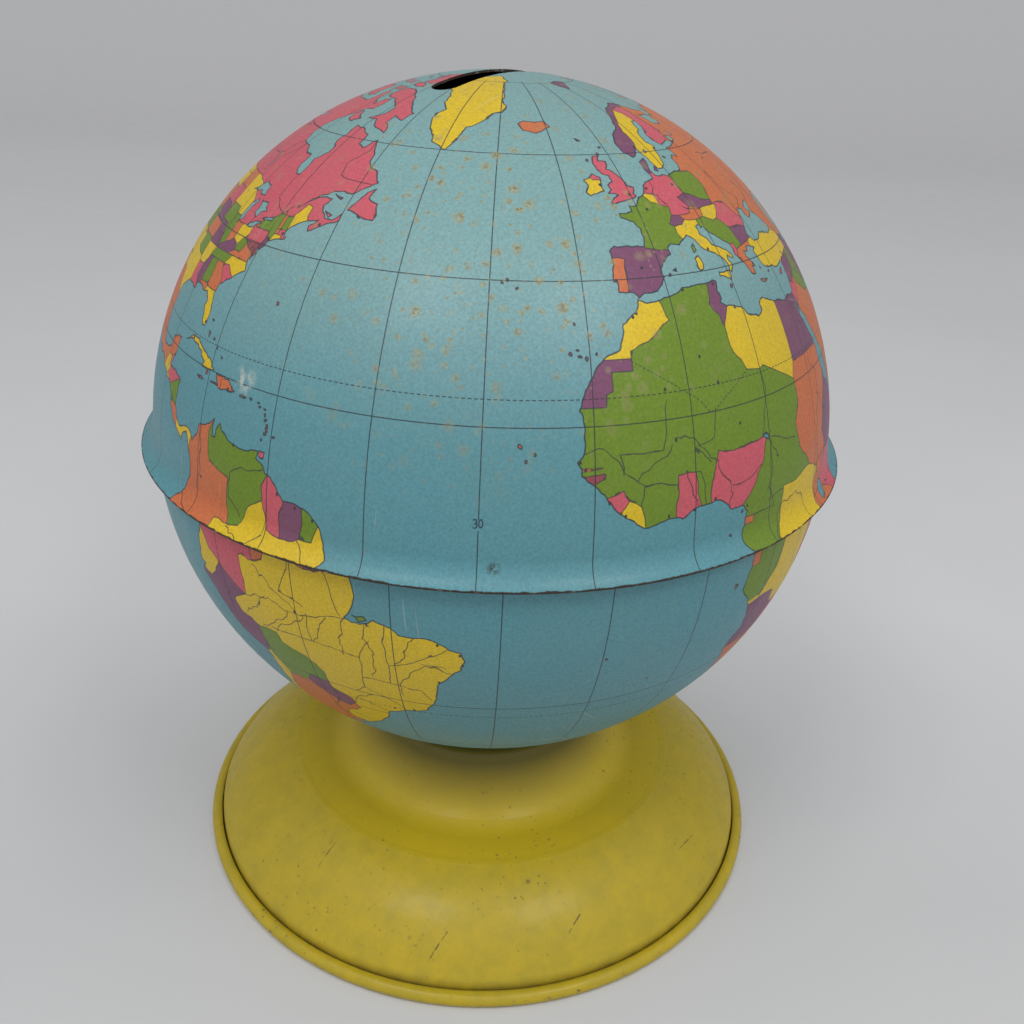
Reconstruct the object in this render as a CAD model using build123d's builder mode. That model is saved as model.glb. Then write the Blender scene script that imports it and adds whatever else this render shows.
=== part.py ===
"""Tin world-globe coin bank: two nesting half globes on a pressed pedestal.

Units are millimetres, +Z up.  The origin is on the floor, under the middle of
the pedestal, and the coin slot in the crown runs along X.
"""
from build123d import *
from math import acos, cos, degrees, radians, sqrt
import os

# --- Sheet and clearances ----------------------------------------------------
tin = 0.35                  # thickness of all the pressed tinplate
seam_clearance = 0.25       # between the lower half's lip and the upper half
spin_clearance = 0.06       # radial, rivet shank in the globe's pole hole
spin_play = 0.05            # axial, each side of the globe's rivet seat
washer_clearance = 0.1      # radial, rivet shank in washers and pedestal

# --- Globe -------------------------------------------------------------------
globe_radius = 57.15        # a 4 1/2 inch globe, outside
slot_length = 31.2          # passes a 30.6 mm coin
slot_width = 4.5
skirt_start = 4.0           # the upper half leaves the sphere this far above the equator
skirt_edge_height = 0.5     # raw edge of the flared skirt, above the equator
skirt_flare = 2.05          # how far the raw edge stands out past the sphere
shoulder_height = 1.5       # the lower half leaves the sphere here and steps inward
lip_start = 4.0             # the stepped-in lip begins here ...
lip_height = 9.0            # ... and ends here, all above the equator
pole_seat_radius = 6.0      # flat pressed at the south pole for the rivet

# --- Pedestal ----------------------------------------------------------------
rim_radius = 55.4           # outside of the rolled rim
curl_radius = 1.3           # outside radius of the rim's roll
curl_turn = 300.0           # degrees that the sheet is rolled through
rest_flat_width = 0.8       # flat worn under the roll
wall_height = 1.6           # upright stretch of wall above the roll's centre
heel_radius = 2.5           # bend from the wall into the dome
heel_slope = 57.0           # slope of the dome at its foot, degrees from level
dome_radius = 26.5
crest_slope = 16.5          # slope of the dome where it meets the crest
crest_radius = 2.5
shelf_slope = 3.0           # the shelf inside the crest falls this much inward
shelf_width = 5.8
foot_radius = 5.0           # tight bend at the foot of the flare
foot_slope = 38.0
flare_radius = 16.0         # long sweep of the flare; its end slope follows from the heights
neck_height = 2.1           # from the end of the flare up to the neck's top
neck_edge_radius = 1.5
seat_height = 26.6          # flat top of the neck, which carries the globe

# --- Pivot -------------------------------------------------------------------
shank_radius = 2.8
shank_wall = 0.9            # the rivet is tubular
rivet_head_radius = 4.8
rivet_head_height = 1.5
rivet_head_edge = 0.4       # upright edge below the head's dome
rivet_hole_top = 0.7        # metal left between the head's crown and the bore
spacer_radius = 5.5
spacer_thickness = 0.6
washer_radius = 5.2
washer_thickness = 0.5
clinch_gap = 0.35           # inside radius of the clinched end's roll

# --- Heights that follow -----------------------------------------------------
pole_seat_depth = sqrt(globe_radius**2 - pole_seat_radius**2)
pole_outside = seat_height + spacer_thickness + spin_play
globe_centre = pole_outside + pole_seat_depth
inner_washer_seat = pole_outside + tin + spin_play
rivet_head_seat = inner_washer_seat + washer_thickness
under_washer_top = seat_height - tin
clinch_height = under_washer_top - washer_thickness
shank_bore = shank_radius - shank_wall
loose_hole = shank_radius + washer_clearance
pole_hole = shank_radius + spin_clearance
curl_centre_radius = rim_radius - curl_radius
curl_centre_height = sqrt(curl_radius**2 - (rest_flat_width / 2) ** 2)
wall_radius = rim_radius - 2 * curl_radius + tin

os.makedirs("parts", exist_ok=True)


def on_sphere(radius, height):
    """Profile point on a sphere about the globe's centre, height above the equator."""
    return (sqrt(radius**2 - height**2), globe_centre + height)


# Upper half: a shell that runs off the sphere into a short flared skirt.
with BuildPart() as northern_hemisphere:
    with BuildSketch(Plane.XZ):
        with BuildLine():
            crown = RadiusArc(
                (0, globe_centre + globe_radius),
                on_sphere(globe_radius, skirt_start),
                globe_radius,
            )
            skirt_edge = (globe_radius + skirt_flare, globe_centre + skirt_edge_height)
            TangentArc(crown @ 1, skirt_edge, tangent=crown % 1)
            offset(amount=tin, side=Side.RIGHT)
        make_face()
    revolve(axis=Axis.Z)
    with BuildSketch(Plane.XY.offset(globe_centre + globe_radius / 2)):
        SlotOverall(slot_length, slot_width)
    extrude(amount=globe_radius, mode=Mode.SUBTRACT)

northern_hemisphere.part.label = "northern_hemisphere"
export_step(northern_hemisphere.part, "parts/northern_hemisphere.step")

# Lower half: a bowl with a flat rivet seat at its pole and, round its mouth, a
# shoulder that steps in to the lip on which the upper half is pushed.
lip_radius = globe_radius - tin - seam_clearance
with BuildPart() as southern_hemisphere:
    with BuildSketch(Plane.XZ):
        with BuildLine():
            seat = Line((pole_hole, pole_outside), (pole_seat_radius, pole_outside))
            bowl = RadiusArc(seat @ 1, on_sphere(globe_radius, shoulder_height), -globe_radius)
            shoulder = Line(bowl @ 1, on_sphere(lip_radius, lip_start))
            RadiusArc(shoulder @ 1, on_sphere(lip_radius, lip_height), -lip_radius)
            offset(amount=tin, side=Side.LEFT)
        make_face()
    revolve(axis=Axis.Z)

southern_hemisphere.part.label = "southern_hemisphere"
export_step(southern_hemisphere.part, "parts/southern_hemisphere.step")

# Pedestal: one pressed sheet, up the wall from the rolled rim, over the dome and
# shelf, and up the flare to the neck's flat top.  The outline is its painted
# face, and each bend turns it by the change in slope.  The sheet rolls outward
# under the wall, and its raw edge ends close to the wall's foot.
with BuildPart() as pedestal:
    with BuildSketch(Plane.XZ):
        with BuildLine():
            wall = PolarLine((wall_radius, curl_centre_height), wall_height, 90)
            heel = JernArc(wall @ 1, wall % 1, heel_radius, 90 - heel_slope)
            dome = JernArc(heel @ 1, heel % 1, dome_radius, heel_slope - crest_slope)
            crest = JernArc(dome @ 1, dome % 1, crest_radius, crest_slope + shelf_slope)
            shelf = PolarLine(crest @ 1, shelf_width, 180 + shelf_slope)
            foot = JernArc(shelf @ 1, shelf % 1, foot_radius, -shelf_slope - foot_slope)
            flare_rise = seat_height - neck_height - (foot @ 1).Y
            neck_slope = degrees(acos(cos(radians(foot_slope)) - flare_rise / flare_radius))
            flare = JernArc(foot @ 1, foot % 1, flare_radius, foot_slope - neck_slope)
            edge_drop = neck_edge_radius * (1 - cos(radians(neck_slope)))
            neck = PolarLine(
                flare @ 1,
                neck_height - edge_drop,
                180 - neck_slope,
                length_mode=LengthMode.VERTICAL,
            )
            edge = JernArc(neck @ 1, neck % 1, neck_edge_radius, neck_slope)
            Line(edge @ 1, (loose_hole, seat_height))
            offset(amount=tin, side=Side.LEFT)
        make_face()
        with BuildLine():
            roll_centre = (curl_centre_radius, curl_centre_height)
            CenterArc(roll_centre, curl_radius, 180, curl_turn)
            offset(amount=tin, side=Side.LEFT)
        make_face()
    revolve(axis=Axis.Z)
    with BuildSketch():
        Circle(rim_radius)
    extrude(amount=-curl_radius, mode=Mode.SUBTRACT)

pedestal.part.label = "pedestal"
export_step(pedestal.part, "parts/pedestal.step")


def washer(outside, inside, height, thickness):
    """A flat washer as a sketch and its extrusion, lying at the given height."""
    with BuildPart() as ring:
        with BuildSketch(Plane.XY.offset(height)):
            Circle(outside)
            Circle(inside, mode=Mode.SUBTRACT)
        extrude(amount=thickness)
    return ring


# Spacer that keeps the turning globe off the painted neck.
spacer_washer = washer(spacer_radius, loose_hole, seat_height, spacer_thickness)
spacer_washer.part.label = "spacer_washer"
export_step(spacer_washer.part, "parts/spacer_washer.step")

# Washer inside the globe, under the rivet's head.
inner_washer = washer(washer_radius, loose_hole, inner_washer_seat, washer_thickness)
inner_washer.part.label = "inner_washer"
export_step(inner_washer.part, "parts/inner_washer.step")

# Washer under the neck, against which the rivet is clinched.
clinch_washer = washer(washer_radius, loose_hole, clinch_height, washer_thickness)
clinch_washer.part.label = "clinch_washer"
export_step(clinch_washer.part, "parts/clinch_washer.step")

# Semi-tubular pivot rivet: domed head inside the globe, shank through both
# skins, and its lower end rolled outward against the clinch washer.
head_top = rivet_head_seat + rivet_head_height
head_side = rivet_head_seat + rivet_head_edge
dome_rise = rivet_head_height - rivet_head_edge
head_dome_radius = (rivet_head_radius**2 + dome_rise**2) / (2 * dome_rise)
clinch_centre = shank_radius + clinch_gap
with BuildPart() as pivot_rivet:
    with BuildSketch(Plane.XZ):
        with BuildLine():
            Polyline(
                (shank_radius, clinch_height),
                (shank_radius, rivet_head_seat),
                (rivet_head_radius, rivet_head_seat),
                (rivet_head_radius, head_side),
            )
            RadiusArc((0, head_top), (rivet_head_radius, head_side), head_dome_radius)
            Polyline(
                (0, head_top),
                (0, head_top - rivet_hole_top),
                (shank_bore, head_top - rivet_hole_top),
                (shank_bore, clinch_height),
            )
            CenterArc((clinch_centre, clinch_height), clinch_gap + shank_wall, 180, 180)
            CenterArc((clinch_centre, clinch_height), clinch_gap, 180, 180)
            Line(
                (clinch_centre + clinch_gap, clinch_height),
                (clinch_centre + clinch_gap + shank_wall, clinch_height),
            )
        make_face()
    revolve(axis=Axis.Z)

pivot_rivet.part.label = "pivot_rivet"
export_step(pivot_rivet.part, "parts/pivot_rivet.step")
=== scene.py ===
"""Looks for the tin world-globe coin bank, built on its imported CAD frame.

The globe's profile and its map are worked out in millimetres, and S turns them into
metres.  Materials are in metres, and the lamps and camera in globe radii.
"""
import math
import random
from functools import partialmethod

import bpy
import numpy as np
from mathutils import Matrix, Vector, geometry, kdtree

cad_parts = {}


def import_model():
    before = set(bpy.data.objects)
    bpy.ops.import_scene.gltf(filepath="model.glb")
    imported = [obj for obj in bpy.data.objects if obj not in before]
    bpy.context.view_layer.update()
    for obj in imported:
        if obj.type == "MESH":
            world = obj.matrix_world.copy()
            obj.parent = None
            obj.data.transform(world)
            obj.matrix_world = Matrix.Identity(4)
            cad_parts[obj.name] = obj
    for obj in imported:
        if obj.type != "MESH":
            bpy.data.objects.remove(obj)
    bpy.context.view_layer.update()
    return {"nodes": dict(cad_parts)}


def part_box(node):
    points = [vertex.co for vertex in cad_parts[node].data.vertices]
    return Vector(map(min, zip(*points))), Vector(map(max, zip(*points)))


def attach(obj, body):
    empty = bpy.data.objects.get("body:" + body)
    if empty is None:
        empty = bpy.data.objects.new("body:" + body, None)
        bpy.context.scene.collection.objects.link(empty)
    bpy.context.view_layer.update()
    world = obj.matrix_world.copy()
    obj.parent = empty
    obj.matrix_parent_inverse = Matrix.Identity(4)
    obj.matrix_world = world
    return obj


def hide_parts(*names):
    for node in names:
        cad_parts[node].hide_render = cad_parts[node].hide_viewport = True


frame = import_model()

S = 0.001                                    # metres in a millimetre
MERIDIAN_STEP = 15.0                         # degrees between the printed meridians

# --- The globe's profile: part.py's own values, on the CAD nodes' boxes --------------
south_low, south_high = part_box("southern_hemisphere")
north_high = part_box("northern_hemisphere")[1]
RADIUS = south_high.x / S
CENTRE = north_high.z / S - RADIUS
POLE = south_low.z / S - CENTRE              # outside of the flat at the south pole
TIN = 0.35
SEAT_RADIUS = 6.0                            # that flat, round the rivet
POLE_HOLE = 2.86
SKIRT_START, SKIRT_EDGE = 4.0, 0.5           # heights above the equator
SKIRT_RADIUS = RADIUS + 2.05
SHOULDER, LIP_START, LIP_END = 1.5, 4.0, 9.0
LIP_RADIUS = RADIUS - TIN - 0.25
SLOT_LENGTH, SLOT_WIDTH = 31.2, 4.5


class Upper:
    """Outside profile of the upper half by length s along the sheet from the pole."""

    # The skirt is one arc, tangent to the sphere, that ends at the raw edge.
    start = np.array([math.sqrt(RADIUS**2 - SKIRT_START**2), SKIRT_START])
    out = start / RADIUS
    along = np.array([out[1], -out[0]])
    chord = np.array([SKIRT_RADIUS, SKIRT_EDGE]) - start
    bend = float(chord @ chord) / (2 * float(chord @ out))
    turn = 2 * math.asin(math.sqrt(float(chord @ chord)) / (2 * bend))
    sphere_end = RADIUS * math.acos(SKIRT_START / RADIUS)
    end = sphere_end + bend * turn
    breaks = [sphere_end]
    hinge = 112.4                            # longitude that lies on the frame's +X
    parallels = (10.3, 30.7, 50.5, 68.9)     # printed circles, degrees from the north pole
    tropic = 65.5                            # the same for the dashed tropic

    @classmethod
    def at(cls, s, part):
        """Points (r, z about the globe's centre) and outward normals."""
        ball = s / RADIUS
        n0 = np.stack([np.sin(ball), np.cos(ball)], -1)
        a = ((s - cls.sphere_end) / cls.bend)[:, None]
        n1 = np.cos(a) * cls.out - np.sin(a) * cls.along
        middle = cls.start + cls.bend * cls.out
        skirt = part[:, None] == 1
        return np.where(skirt, middle - cls.bend * n1, RADIUS * n0), np.where(skirt, n1, n0)

    @classmethod
    def length(cls, latitude):
        """Length along the sheet at which the map prints a latitude."""
        turn = np.radians([0, 29.6, 49.5, 67.8])             # from the pole, at 90 to 20
        place = [cls.end + 34, cls.end, *(turn[::-1] * RADIUS)]
        return np.interp(latitude, [-30, 0, 20, 40, 60, 90], place)


class Lower:
    """The same for the lower half, from the south pole up to the end of the lip."""

    first = math.asin(SEAT_RADIUS / RADIUS)
    ball_end = SEAT_RADIUS + RADIUS * (math.pi / 2 + math.asin(SHOULDER / RADIUS) - first)
    p1 = np.array([math.sqrt(RADIUS**2 - SHOULDER**2), SHOULDER])
    p2 = np.array([math.sqrt(LIP_RADIUS**2 - LIP_START**2), LIP_START])
    step = p2 - p1
    step_length = math.sqrt(float(step @ step))
    lip_first = math.asin(LIP_START / LIP_RADIUS)
    shoulder_end = ball_end + step_length
    end = shoulder_end + LIP_RADIUS * (math.asin(LIP_END / LIP_RADIUS) - lip_first)
    breaks = [SEAT_RADIUS, ball_end, shoulder_end]
    hinge = 108.9
    parallels = (170.4, 151.1, 132.0, 114.2)
    tropic = 117.0

    @classmethod
    def at(cls, s, part):
        """Points and normals on the flat seat, the ball, the step or the lip (part 0 to 3)."""
        part = part[:, None]
        flat = np.stack([s, np.full_like(s, POLE)], -1)
        a = cls.first + (s - SEAT_RADIUS) / RADIUS
        n1 = np.stack([np.sin(a), -np.cos(a)], -1)
        t = ((s - cls.ball_end) / cls.step_length)[:, None]
        n2 = np.array([cls.step[1], -cls.step[0]]) / cls.step_length
        b = cls.lip_first + (s - cls.shoulder_end) / LIP_RADIUS
        n3 = np.stack([np.cos(b), np.sin(b)], -1)
        point = np.where(part == 0, flat, RADIUS * n1)
        point = np.where(part == 2, cls.p1 + t * cls.step, point)
        point = np.where(part == 3, LIP_RADIUS * n3, point)
        normal = np.where(part == 0, np.array([0.0, -1.0]), n1)
        normal = np.where(part == 2, n2, normal)
        return point, np.where(part == 3, n3, normal)

    @classmethod
    def length(cls, latitude):
        known = [-90, -60, -40, -20, 0, 2, 30]
        turn = [0, 28.9, 48.0, 65.8, 83.2, 89.0, 109.5]
        place = [SEAT_RADIUS + (math.radians(a) - cls.first) * RADIUS for a in turn]
        place[0] = 0
        return np.interp(latitude, known, place)

# --- The map: drawn in degrees, longitude then latitude -----------------------------
# Inks, in linear light.
INK = {
    "sea": (0.078, 0.245, 0.290),
    "pink": (0.500, 0.075, 0.108),
    "yellow": (0.600, 0.415, 0.002),
    "green": (0.118, 0.205, 0.003),
    "purple": (0.160, 0.045, 0.110),
    "orange": (0.500, 0.125, 0.038),
    "maroon": (0.240, 0.040, 0.060),
    "white": (0.680, 0.700, 0.660),
    "black": (0.020, 0.020, 0.025),
}

LAND = {
    "america orange": """
    -141,69.7 -135,69 -128,70 -124,70 -121,69.8 -115,68 -109,67.8 -103,68 -98,68 -96,68.2
    -95.5,69.5 -96.5,71 -94.5,72 -92.5,70.8 -91.8,69.6 -90,68.8 -88,68.3 -86.5,67.5 -85.5,69.4
    -82,69.6 -81.5,68.3 -82.5,66.5 -86,66.3 -87.5,64.8 -90,63.8 -93,62.3 -94.8,60.5 -94.7,58.8
    -92.5,57 -88.5,56.6 -85,55.3 -82.3,55.1 -82.2,53 -80.5,51.4 -79,51.4 -78.8,52.5 -79.3,54.5
    -76.8,56.2 -76.6,57.3 -78.4,58.9 -77.4,60.2 -78,62.4 -74.5,62.3 -72,61.5 -69.7,61 -69.4,59
    -67,58.3 -65.5,59.8 -64.5,60.3 -62.5,58 -61.5,56 -60,55 -57.5,54.3 -55.8,52.6 -58.5,51.3
    -60.5,50.2 -65,50.2 -67.5,49.2 -70.7,47.1 -68.5,48.4 -66,49.1 -64.4,48.9 -65.5,47.7
    -64.8,46.8 -63.5,45.9 -61.6,45.8 -60.2,46.9 -60,45.9 -63.3,44.6 -65.7,43.5 -66.1,44.3
    -64.5,45.4 -67,45 -68.8,44.3 -70.2,43.5 -70.8,42.7 -70.6,41.9 -70,42 -70,41.6 -71.4,41.4
    -74,40.7 -74.1,39.7 -75,38.9 -75.6,39.5 -75.2,38.2 -76,37.1 -76.3,38.9 -76.4,37 -75.6,35.3
    -77.6,34.2 -79.3,33.1 -81.1,32 -81.4,30.5 -80.6,28.4 -80.1,26.8 -80.4,25.3 -81.2,25.3
    -81.9,26.6 -82.8,27.9 -82.7,29 -84,30.1 -85.3,29.8 -87.5,30.3 -89.3,30.3 -89.3,29.2
    -91.3,29.4 -94,29.6 -95.3,28.9 -97.2,27.6 -97.3,25.9 -97.8,22.9 -97.2,20.8 -96.2,19.3
    -94.7,18.2 -92.5,18.6 -90.8,19.3 -90.4,20.8 -88.5,21.5 -87,21.5 -87.4,19.9 -87.9,18.4
    -88.3,16.8 -88.6,15.8 -86,15.9 -83.3,15 -83.6,13 -83.8,11.2 -82.7,9.6 -81.5,8.9 -79.8,9.4
    -78,9.3 -76.9,8.2 -75.6,9.6 -75.3,10.8 -73.3,11.3 -71.7,12.4 -71.9,11.5 -71.8,10.2
    -71.2,10.2 -71,11.2 -70.2,12.1 -69.8,11.4 -68.2,10.6 -65.8,10.2 -64.5,10.2 -62,10.7
    -62.3,9.8 -61,9.3 -60.5,8.5 -58.7,7.6 -57.2,6 -54,5.8 -52.5,5 -51.5,4.2 -50.6,2 -50,1 -51,0
    -51.9,-1.4 -49.6,-2 -48.4,-1.5 -47.5,-0.6 -44.5,-2.2 -44,-2.9 -41.5,-2.9 -39,-3.2 -37,-4.8
    -35.3,-5.3 -34.8,-7.2 -35.3,-9.2 -37,-11 -38.5,-13 -39,-15 -39.2,-17.8 -40,-20 -41,-22
    -43.2,-23 -45.5,-23.8 -48,-25.2 -48.6,-27.5 -50,-29.5 -52,-32.2 -53.5,-34 -55,-34.9
    -57.8,-34.5 -58.4,-34 -57.2,-35.6 -56.8,-36.5 -57.6,-38 -62,-39 -62.3,-40.8 -65,-41
    -64.3,-42.5 -65.2,-44.5 -67.5,-46 -65.8,-47.5 -68.5,-50.2 -69,-52 -70.8,-53 -71.2,-53.8
    -73.5,-52.5 -75,-50.5 -75.5,-48 -74,-46.8 -75,-45 -73,-43.5 -73.7,-41.5 -73.5,-38 -72.5,-35
    -71.6,-33 -71.4,-30 -70.5,-26 -70.3,-21 -70.3,-18.4 -73.5,-16.3 -76.2,-14 -77.3,-12
    -78.8,-8.8 -80,-6.8 -81.3,-5.5 -81,-4.2 -79.9,-2.8 -80.9,-2.2 -80.5,-0.4 -79.8,1 -78.6,1.9
    -77.2,3.8 -77.5,6.5 -78.2,7.7 -78.9,8.9 -80.2,8.3 -80.4,7.4 -82.2,8.2 -83.6,8.8 -84.8,9.9
    -85.8,10.5 -86.7,12.2 -87.8,13.2 -90,13.8 -92.2,14.6 -94.2,16.2 -96.5,15.7 -99.8,16.8
    -102,17.9 -104.5,19.2 -105.5,20.4 -105.8,22.6 -108.5,25.2 -110.5,27.3 -112.3,29.3
    -113.2,31.2 -114.8,31.7 -114.3,30 -112.8,28.2 -111.3,26 -110.2,24 -109.6,23 -110.3,23.3
    -112.1,24.8 -112.3,26.2 -114.5,27.2 -114.2,28.4 -115.8,30.2 -117.1,32.6 -118.5,34
    -120.6,34.5 -121.9,36.6 -122.5,37.8 -123.8,39.2 -124.3,40.4 -124.3,42.8 -124,46.2
    -124.7,48.3 -122.5,48.2 -123.2,49.2 -125.5,50.7 -127.7,52.2 -130,54.8 -131.5,56 -133.8,58.2
    -136.5,58.3 -139.8,59.6 -144,60 -148,60.9 -150,59.5 -151.8,60.8 -153.5,59.4 -155.5,57.8
    -158.5,56.2 -162.5,55 -164.8,54.6 -160.5,56 -157.6,57.6 -157.5,58.7 -161.8,58.7 -162,59.8
    -165.3,61 -164.5,63.1 -161,63.6 -161,64.5 -165,64.5 -168,65.6 -163.8,66.1 -162.5,66.9
    -166.5,68.3 -163,69.6 -156.6,71.3 -150,70.5""",
    "old_world orange": """
    25.5,71.1 31,70.4 33.5,69.4 41,67.7 40,66.3 34,66.7 32.5,67.1 34.8,64.4 38,63.9 40.3,64.6
    39.8,65.6 42,66.4 44.2,66.2 43.5,68.5 46,67 53,68.8 54,68.3 60,68.8 61,69.8 65,69.3
    68.5,68.3 67,69.7 66.8,71.5 69.5,73 72.8,72.7 72,70.5 73,68.5 71.5,66.5 74,67.8 77.5,67.7
    74.5,68.5 73.9,70.5 74.5,72.5 80.5,73.6 86.5,74.3 87,75.1 95,76.1 104.3,77.7 107,76.5
    113,75.8 113.5,73.7 119,73 123.3,73 126.8,73.4 129.5,71.3 133,71.5 139.5,71.5 140.5,72.7
    149.5,72.2 152.5,70.8 159,70.8 160.8,69.5 170,70 170.5,69 176,69.8 180.5,68.9 187,67.1
    190.3,66.1 187.5,64.3 182.5,65.4 181,66.2 179.5,64.6 177.3,64.7 179.3,62.4 174.3,61.8
    170.3,60 166,60.1 163.3,59.6 162.2,57.8 162.8,56 160,54.8 160,53 156.7,51 155.6,54 155.6,57
    157.8,58.3 160,60.7 164,62.5 160.3,61.8 156.7,61.6 154.5,59.6 151,59.1 146,59.4 142.2,59
    138,56.5 135.3,54.8 138,53.9 141.2,53 140.6,51 140.5,48.4 138.5,46.5 135.5,44.3 132.3,43.2
    130.7,42.3 129.7,41 127.5,39.7 128.5,38.5 129.5,36.8 129.2,35.2 126.6,34.4 126.3,36.8 125,38
    125.2,39.5 121.2,38.8 122,40.5 119,39.2 117.8,38.6 119,37.3 120.8,37.8 122.5,37.2 120.2,36
    119.3,35 120.8,32.8 121.8,31.5 120.8,30.3 122,29.8 121.5,28.2 119.5,25.5 117.5,23.9
    114.5,22.5 110.5,21.2 110,20.4 109.6,21.6 108,21.6 106.6,20.3 105.8,18.8 107.5,16.8
    109.2,13.5 109,11.4 106.7,10.2 104.9,8.7 105,10.1 103.3,10.8 102.3,12.2 100.9,12.7
    100.5,13.5 99.8,12 99.3,9.8 100.4,8.5 101,6.9 102.5,6.1 103.5,4 104.2,1.4 103.4,1.4 101.2,3
    100.3,5.5 99,7.8 98.4,8.3 98.6,11.5 98.3,14 97.6,16.5 95.5,15.8 94.3,16 94.4,18.2 92.3,20.8
    91.3,22.5 89,21.9 87,21.3 85,19.7 82.3,16.7 80.2,15.2 80.2,12.8 79.8,10.4 79,9.4 77.6,8.1
    76.2,10 74.7,13 73.5,16 72.8,19 72.8,21.2 72.3,22.2 70.8,20.8 69,22.2 70,22.8 68.3,23.7
    66.8,25 63,25.2 59,25.4 57.3,25.8 56.8,27.1 54.5,26.6 52,27.8 50.8,29.2 49,30.2 48,29.9
    48.5,28.2 50.1,26.5 50.8,24.8 51.5,26 51.6,24.4 54,24.2 56.2,26.1 56.5,24.5 58.8,23.5
    59.8,22.4 58,20.4 57.3,18.9 55.2,17.5 52.2,16 49.5,14.6 45.2,12.8 43.4,12.7 42.8,15
    42.5,16.8 40.8,19.8 39.2,21.4 37.2,24.6 35,28 34.8,29.5 34.2,27.9 32.6,29.9 33.8,27 35.6,24
    37.2,21 37.5,18.7 39.5,15.5 41.2,14.5 43.1,12.3 43.2,11.4 44.8,10.4 47.5,11.2 51.2,11.9
    50.8,9.4 48.8,5.6 46,2.5 42.5,-0.5 40.2,-2.7 38.8,-6 39.5,-8.5 40.6,-10.8 40.7,-15 37,-17.8
    34.9,-20 35.5,-23 32.8,-26 32.5,-28.8 30,-31.2 27.2,-33.4 23,-34 20,-34.8 18.4,-34
    18.2,-31.8 16.5,-28.6 15,-26.3 14.5,-22.8 12.5,-18.5 11.8,-16 13.6,-12.5 13.2,-8.8 12.2,-6
    9.7,-2.5 8.8,-0.7 9.5,1 9.8,3.1 9,4.2 6.5,4.3 5,5.8 3.4,6.4 1.2,6.1 -2,4.8 -4.5,5.2 -7.5,4.4
    -9.5,5.7 -11.5,6.9 -13.2,8.8 -13.7,9.7 -15,10.9 -16.8,12.4 -16.7,13.4 -17.4,14.7 -16.5,16
    -16.3,19 -17,21 -16,23.7 -14.5,26.2 -12.9,27.9 -10.3,29 -9.7,30.5 -9.3,32.4 -6.8,34
    -5.9,35.8 -5.3,35.6 -4.5,35.2 -2.9,35.3 -1,35.8 3,36.9 7.5,37 10.2,37.3 11,37 10.4,35.6
    10.8,34.4 10.2,33.9 11.5,33.1 13.3,32.9 15.3,32.2 15.8,31.3 18.5,30.4 20,31 20.1,32.3
    21.7,32.9 23.2,32.3 25,31.6 29,30.9 31,31.5 32.6,31.1 34.2,31.3 35,32.8 35.9,35.2 36.1,36.6
    34,36.3 32.5,36.1 30.6,36.7 28.2,36.8 27.2,37.3 26.4,39.2 26.2,40 27.4,40.4 26.1,40.7
    24.4,40.9 23.8,40.2 22.8,40.5 22.7,39.5 23.9,38.1 24,37.7 23.1,37.9 23,36.5 22.4,36.6
    21.7,36.9 21.3,37.9 21.2,38.4 20.2,39.4 19.4,40.3 19.5,41.8 17.5,43 15.2,44.3 14.4,45.3
    13.6,45.1 13.6,45.7 12.4,45.4 12.4,44.2 13.6,43.5 14.2,42.4 16.1,41.8 18.4,40.3 18.3,39.9
    17,40.5 16.6,39.7 17.2,39 16.1,37.9 15.7,38.2 16,39.2 15.5,40.1 14.3,40.8 12.4,41.6 11,42.4
    10.3,43.6 8.8,44.4 7.5,43.8 6,43.1 4,43.4 3.1,43 3.2,41.9 0.8,40.8 -0.3,39.4 0.2,38.8
    -0.7,37.7 -2,36.8 -4.4,36.7 -5.6,36 -6.4,36.9 -8.9,37 -8.8,38.5 -9.5,38.7 -8.8,41 -9,43
    -8,43.7 -4.5,43.4 -1.8,43.4 -1.2,44.7 -1.2,46 -2.2,47.2 -4.6,47.9 -4.6,48.5 -1.6,48.7
    -1.6,49.6 0.2,49.6 1.6,50.9 3.5,51.4 4.6,52.8 6.8,53.5 8.6,53.8 8.8,54.5 8.1,55.6 8.2,57
    10.6,57.7 10.3,56.5 9.6,55.3 10,54.5 11,54.2 12.5,54.4 14.2,54 16.8,54.6 18.8,54.6 19.8,54.5
    21.1,55.6 21.3,57 22.6,57.7 24.2,57.1 24.4,58.3 23.5,59.1 27.8,59.5 30,59.9 28.5,60.6
    25,60.2 22.9,59.9 21.4,61 21.3,62.6 24.5,64.8 24.6,65.8 22.2,65.7 20.8,63.8 17.9,62.6
    17.2,60.8 18.9,59.8 17.6,58.9 16.5,57 16,56.2 14.3,55.5 12.9,55.5 12.4,56.3 11.3,58.6
    10.6,59.7 9.5,58.8 7.2,58 5.5,59 5,61 6.5,62.6 10,64 12.5,66 14.8,68 18.5,69.7""",
    "greenland yellow": """
    -43.9,59.9 -46,60.7 -48.5,61.3 -51.5,64 -53.5,66.5 -51,69 -54.5,70.8 -55,73 -58,75 -65,76.1
    -71,77 -73,78.3 -66,79.8 -64,81.2 -52,82.3 -40,83.2 -36,83.6 -31,82.2 -27,80.5 -29,78 -29,76
    -29,74 -30,72.5 -28,70.5 -29.5,68.6 -33.5,68 -37,65.8 -40.5,65 -41.5,63 -42.8,61""",
    "antarctica white": """
    -180,-78 -165,-78.2 -150,-77 -135,-74.6 -115,-74 -100,-74.5 -90,-72.8 -78,-73.2 -70,-72
    -67.5,-68 -60,-63.8 -58,-63.4 -61,-66 -61.5,-70 -62,-75 -50,-77.7 -36,-78 -26,-75.5
    -12,-71.5 0,-70 15,-69.5 32,-68.8 40,-69.8 50,-67 58,-67 70,-69.5 75,-69.8 82,-67 95,-66.3
    110,-66.2 125,-66.5 140,-66.7 155,-69 165,-70.6 170,-72 164,-77.5 175,-78.3""",
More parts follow.
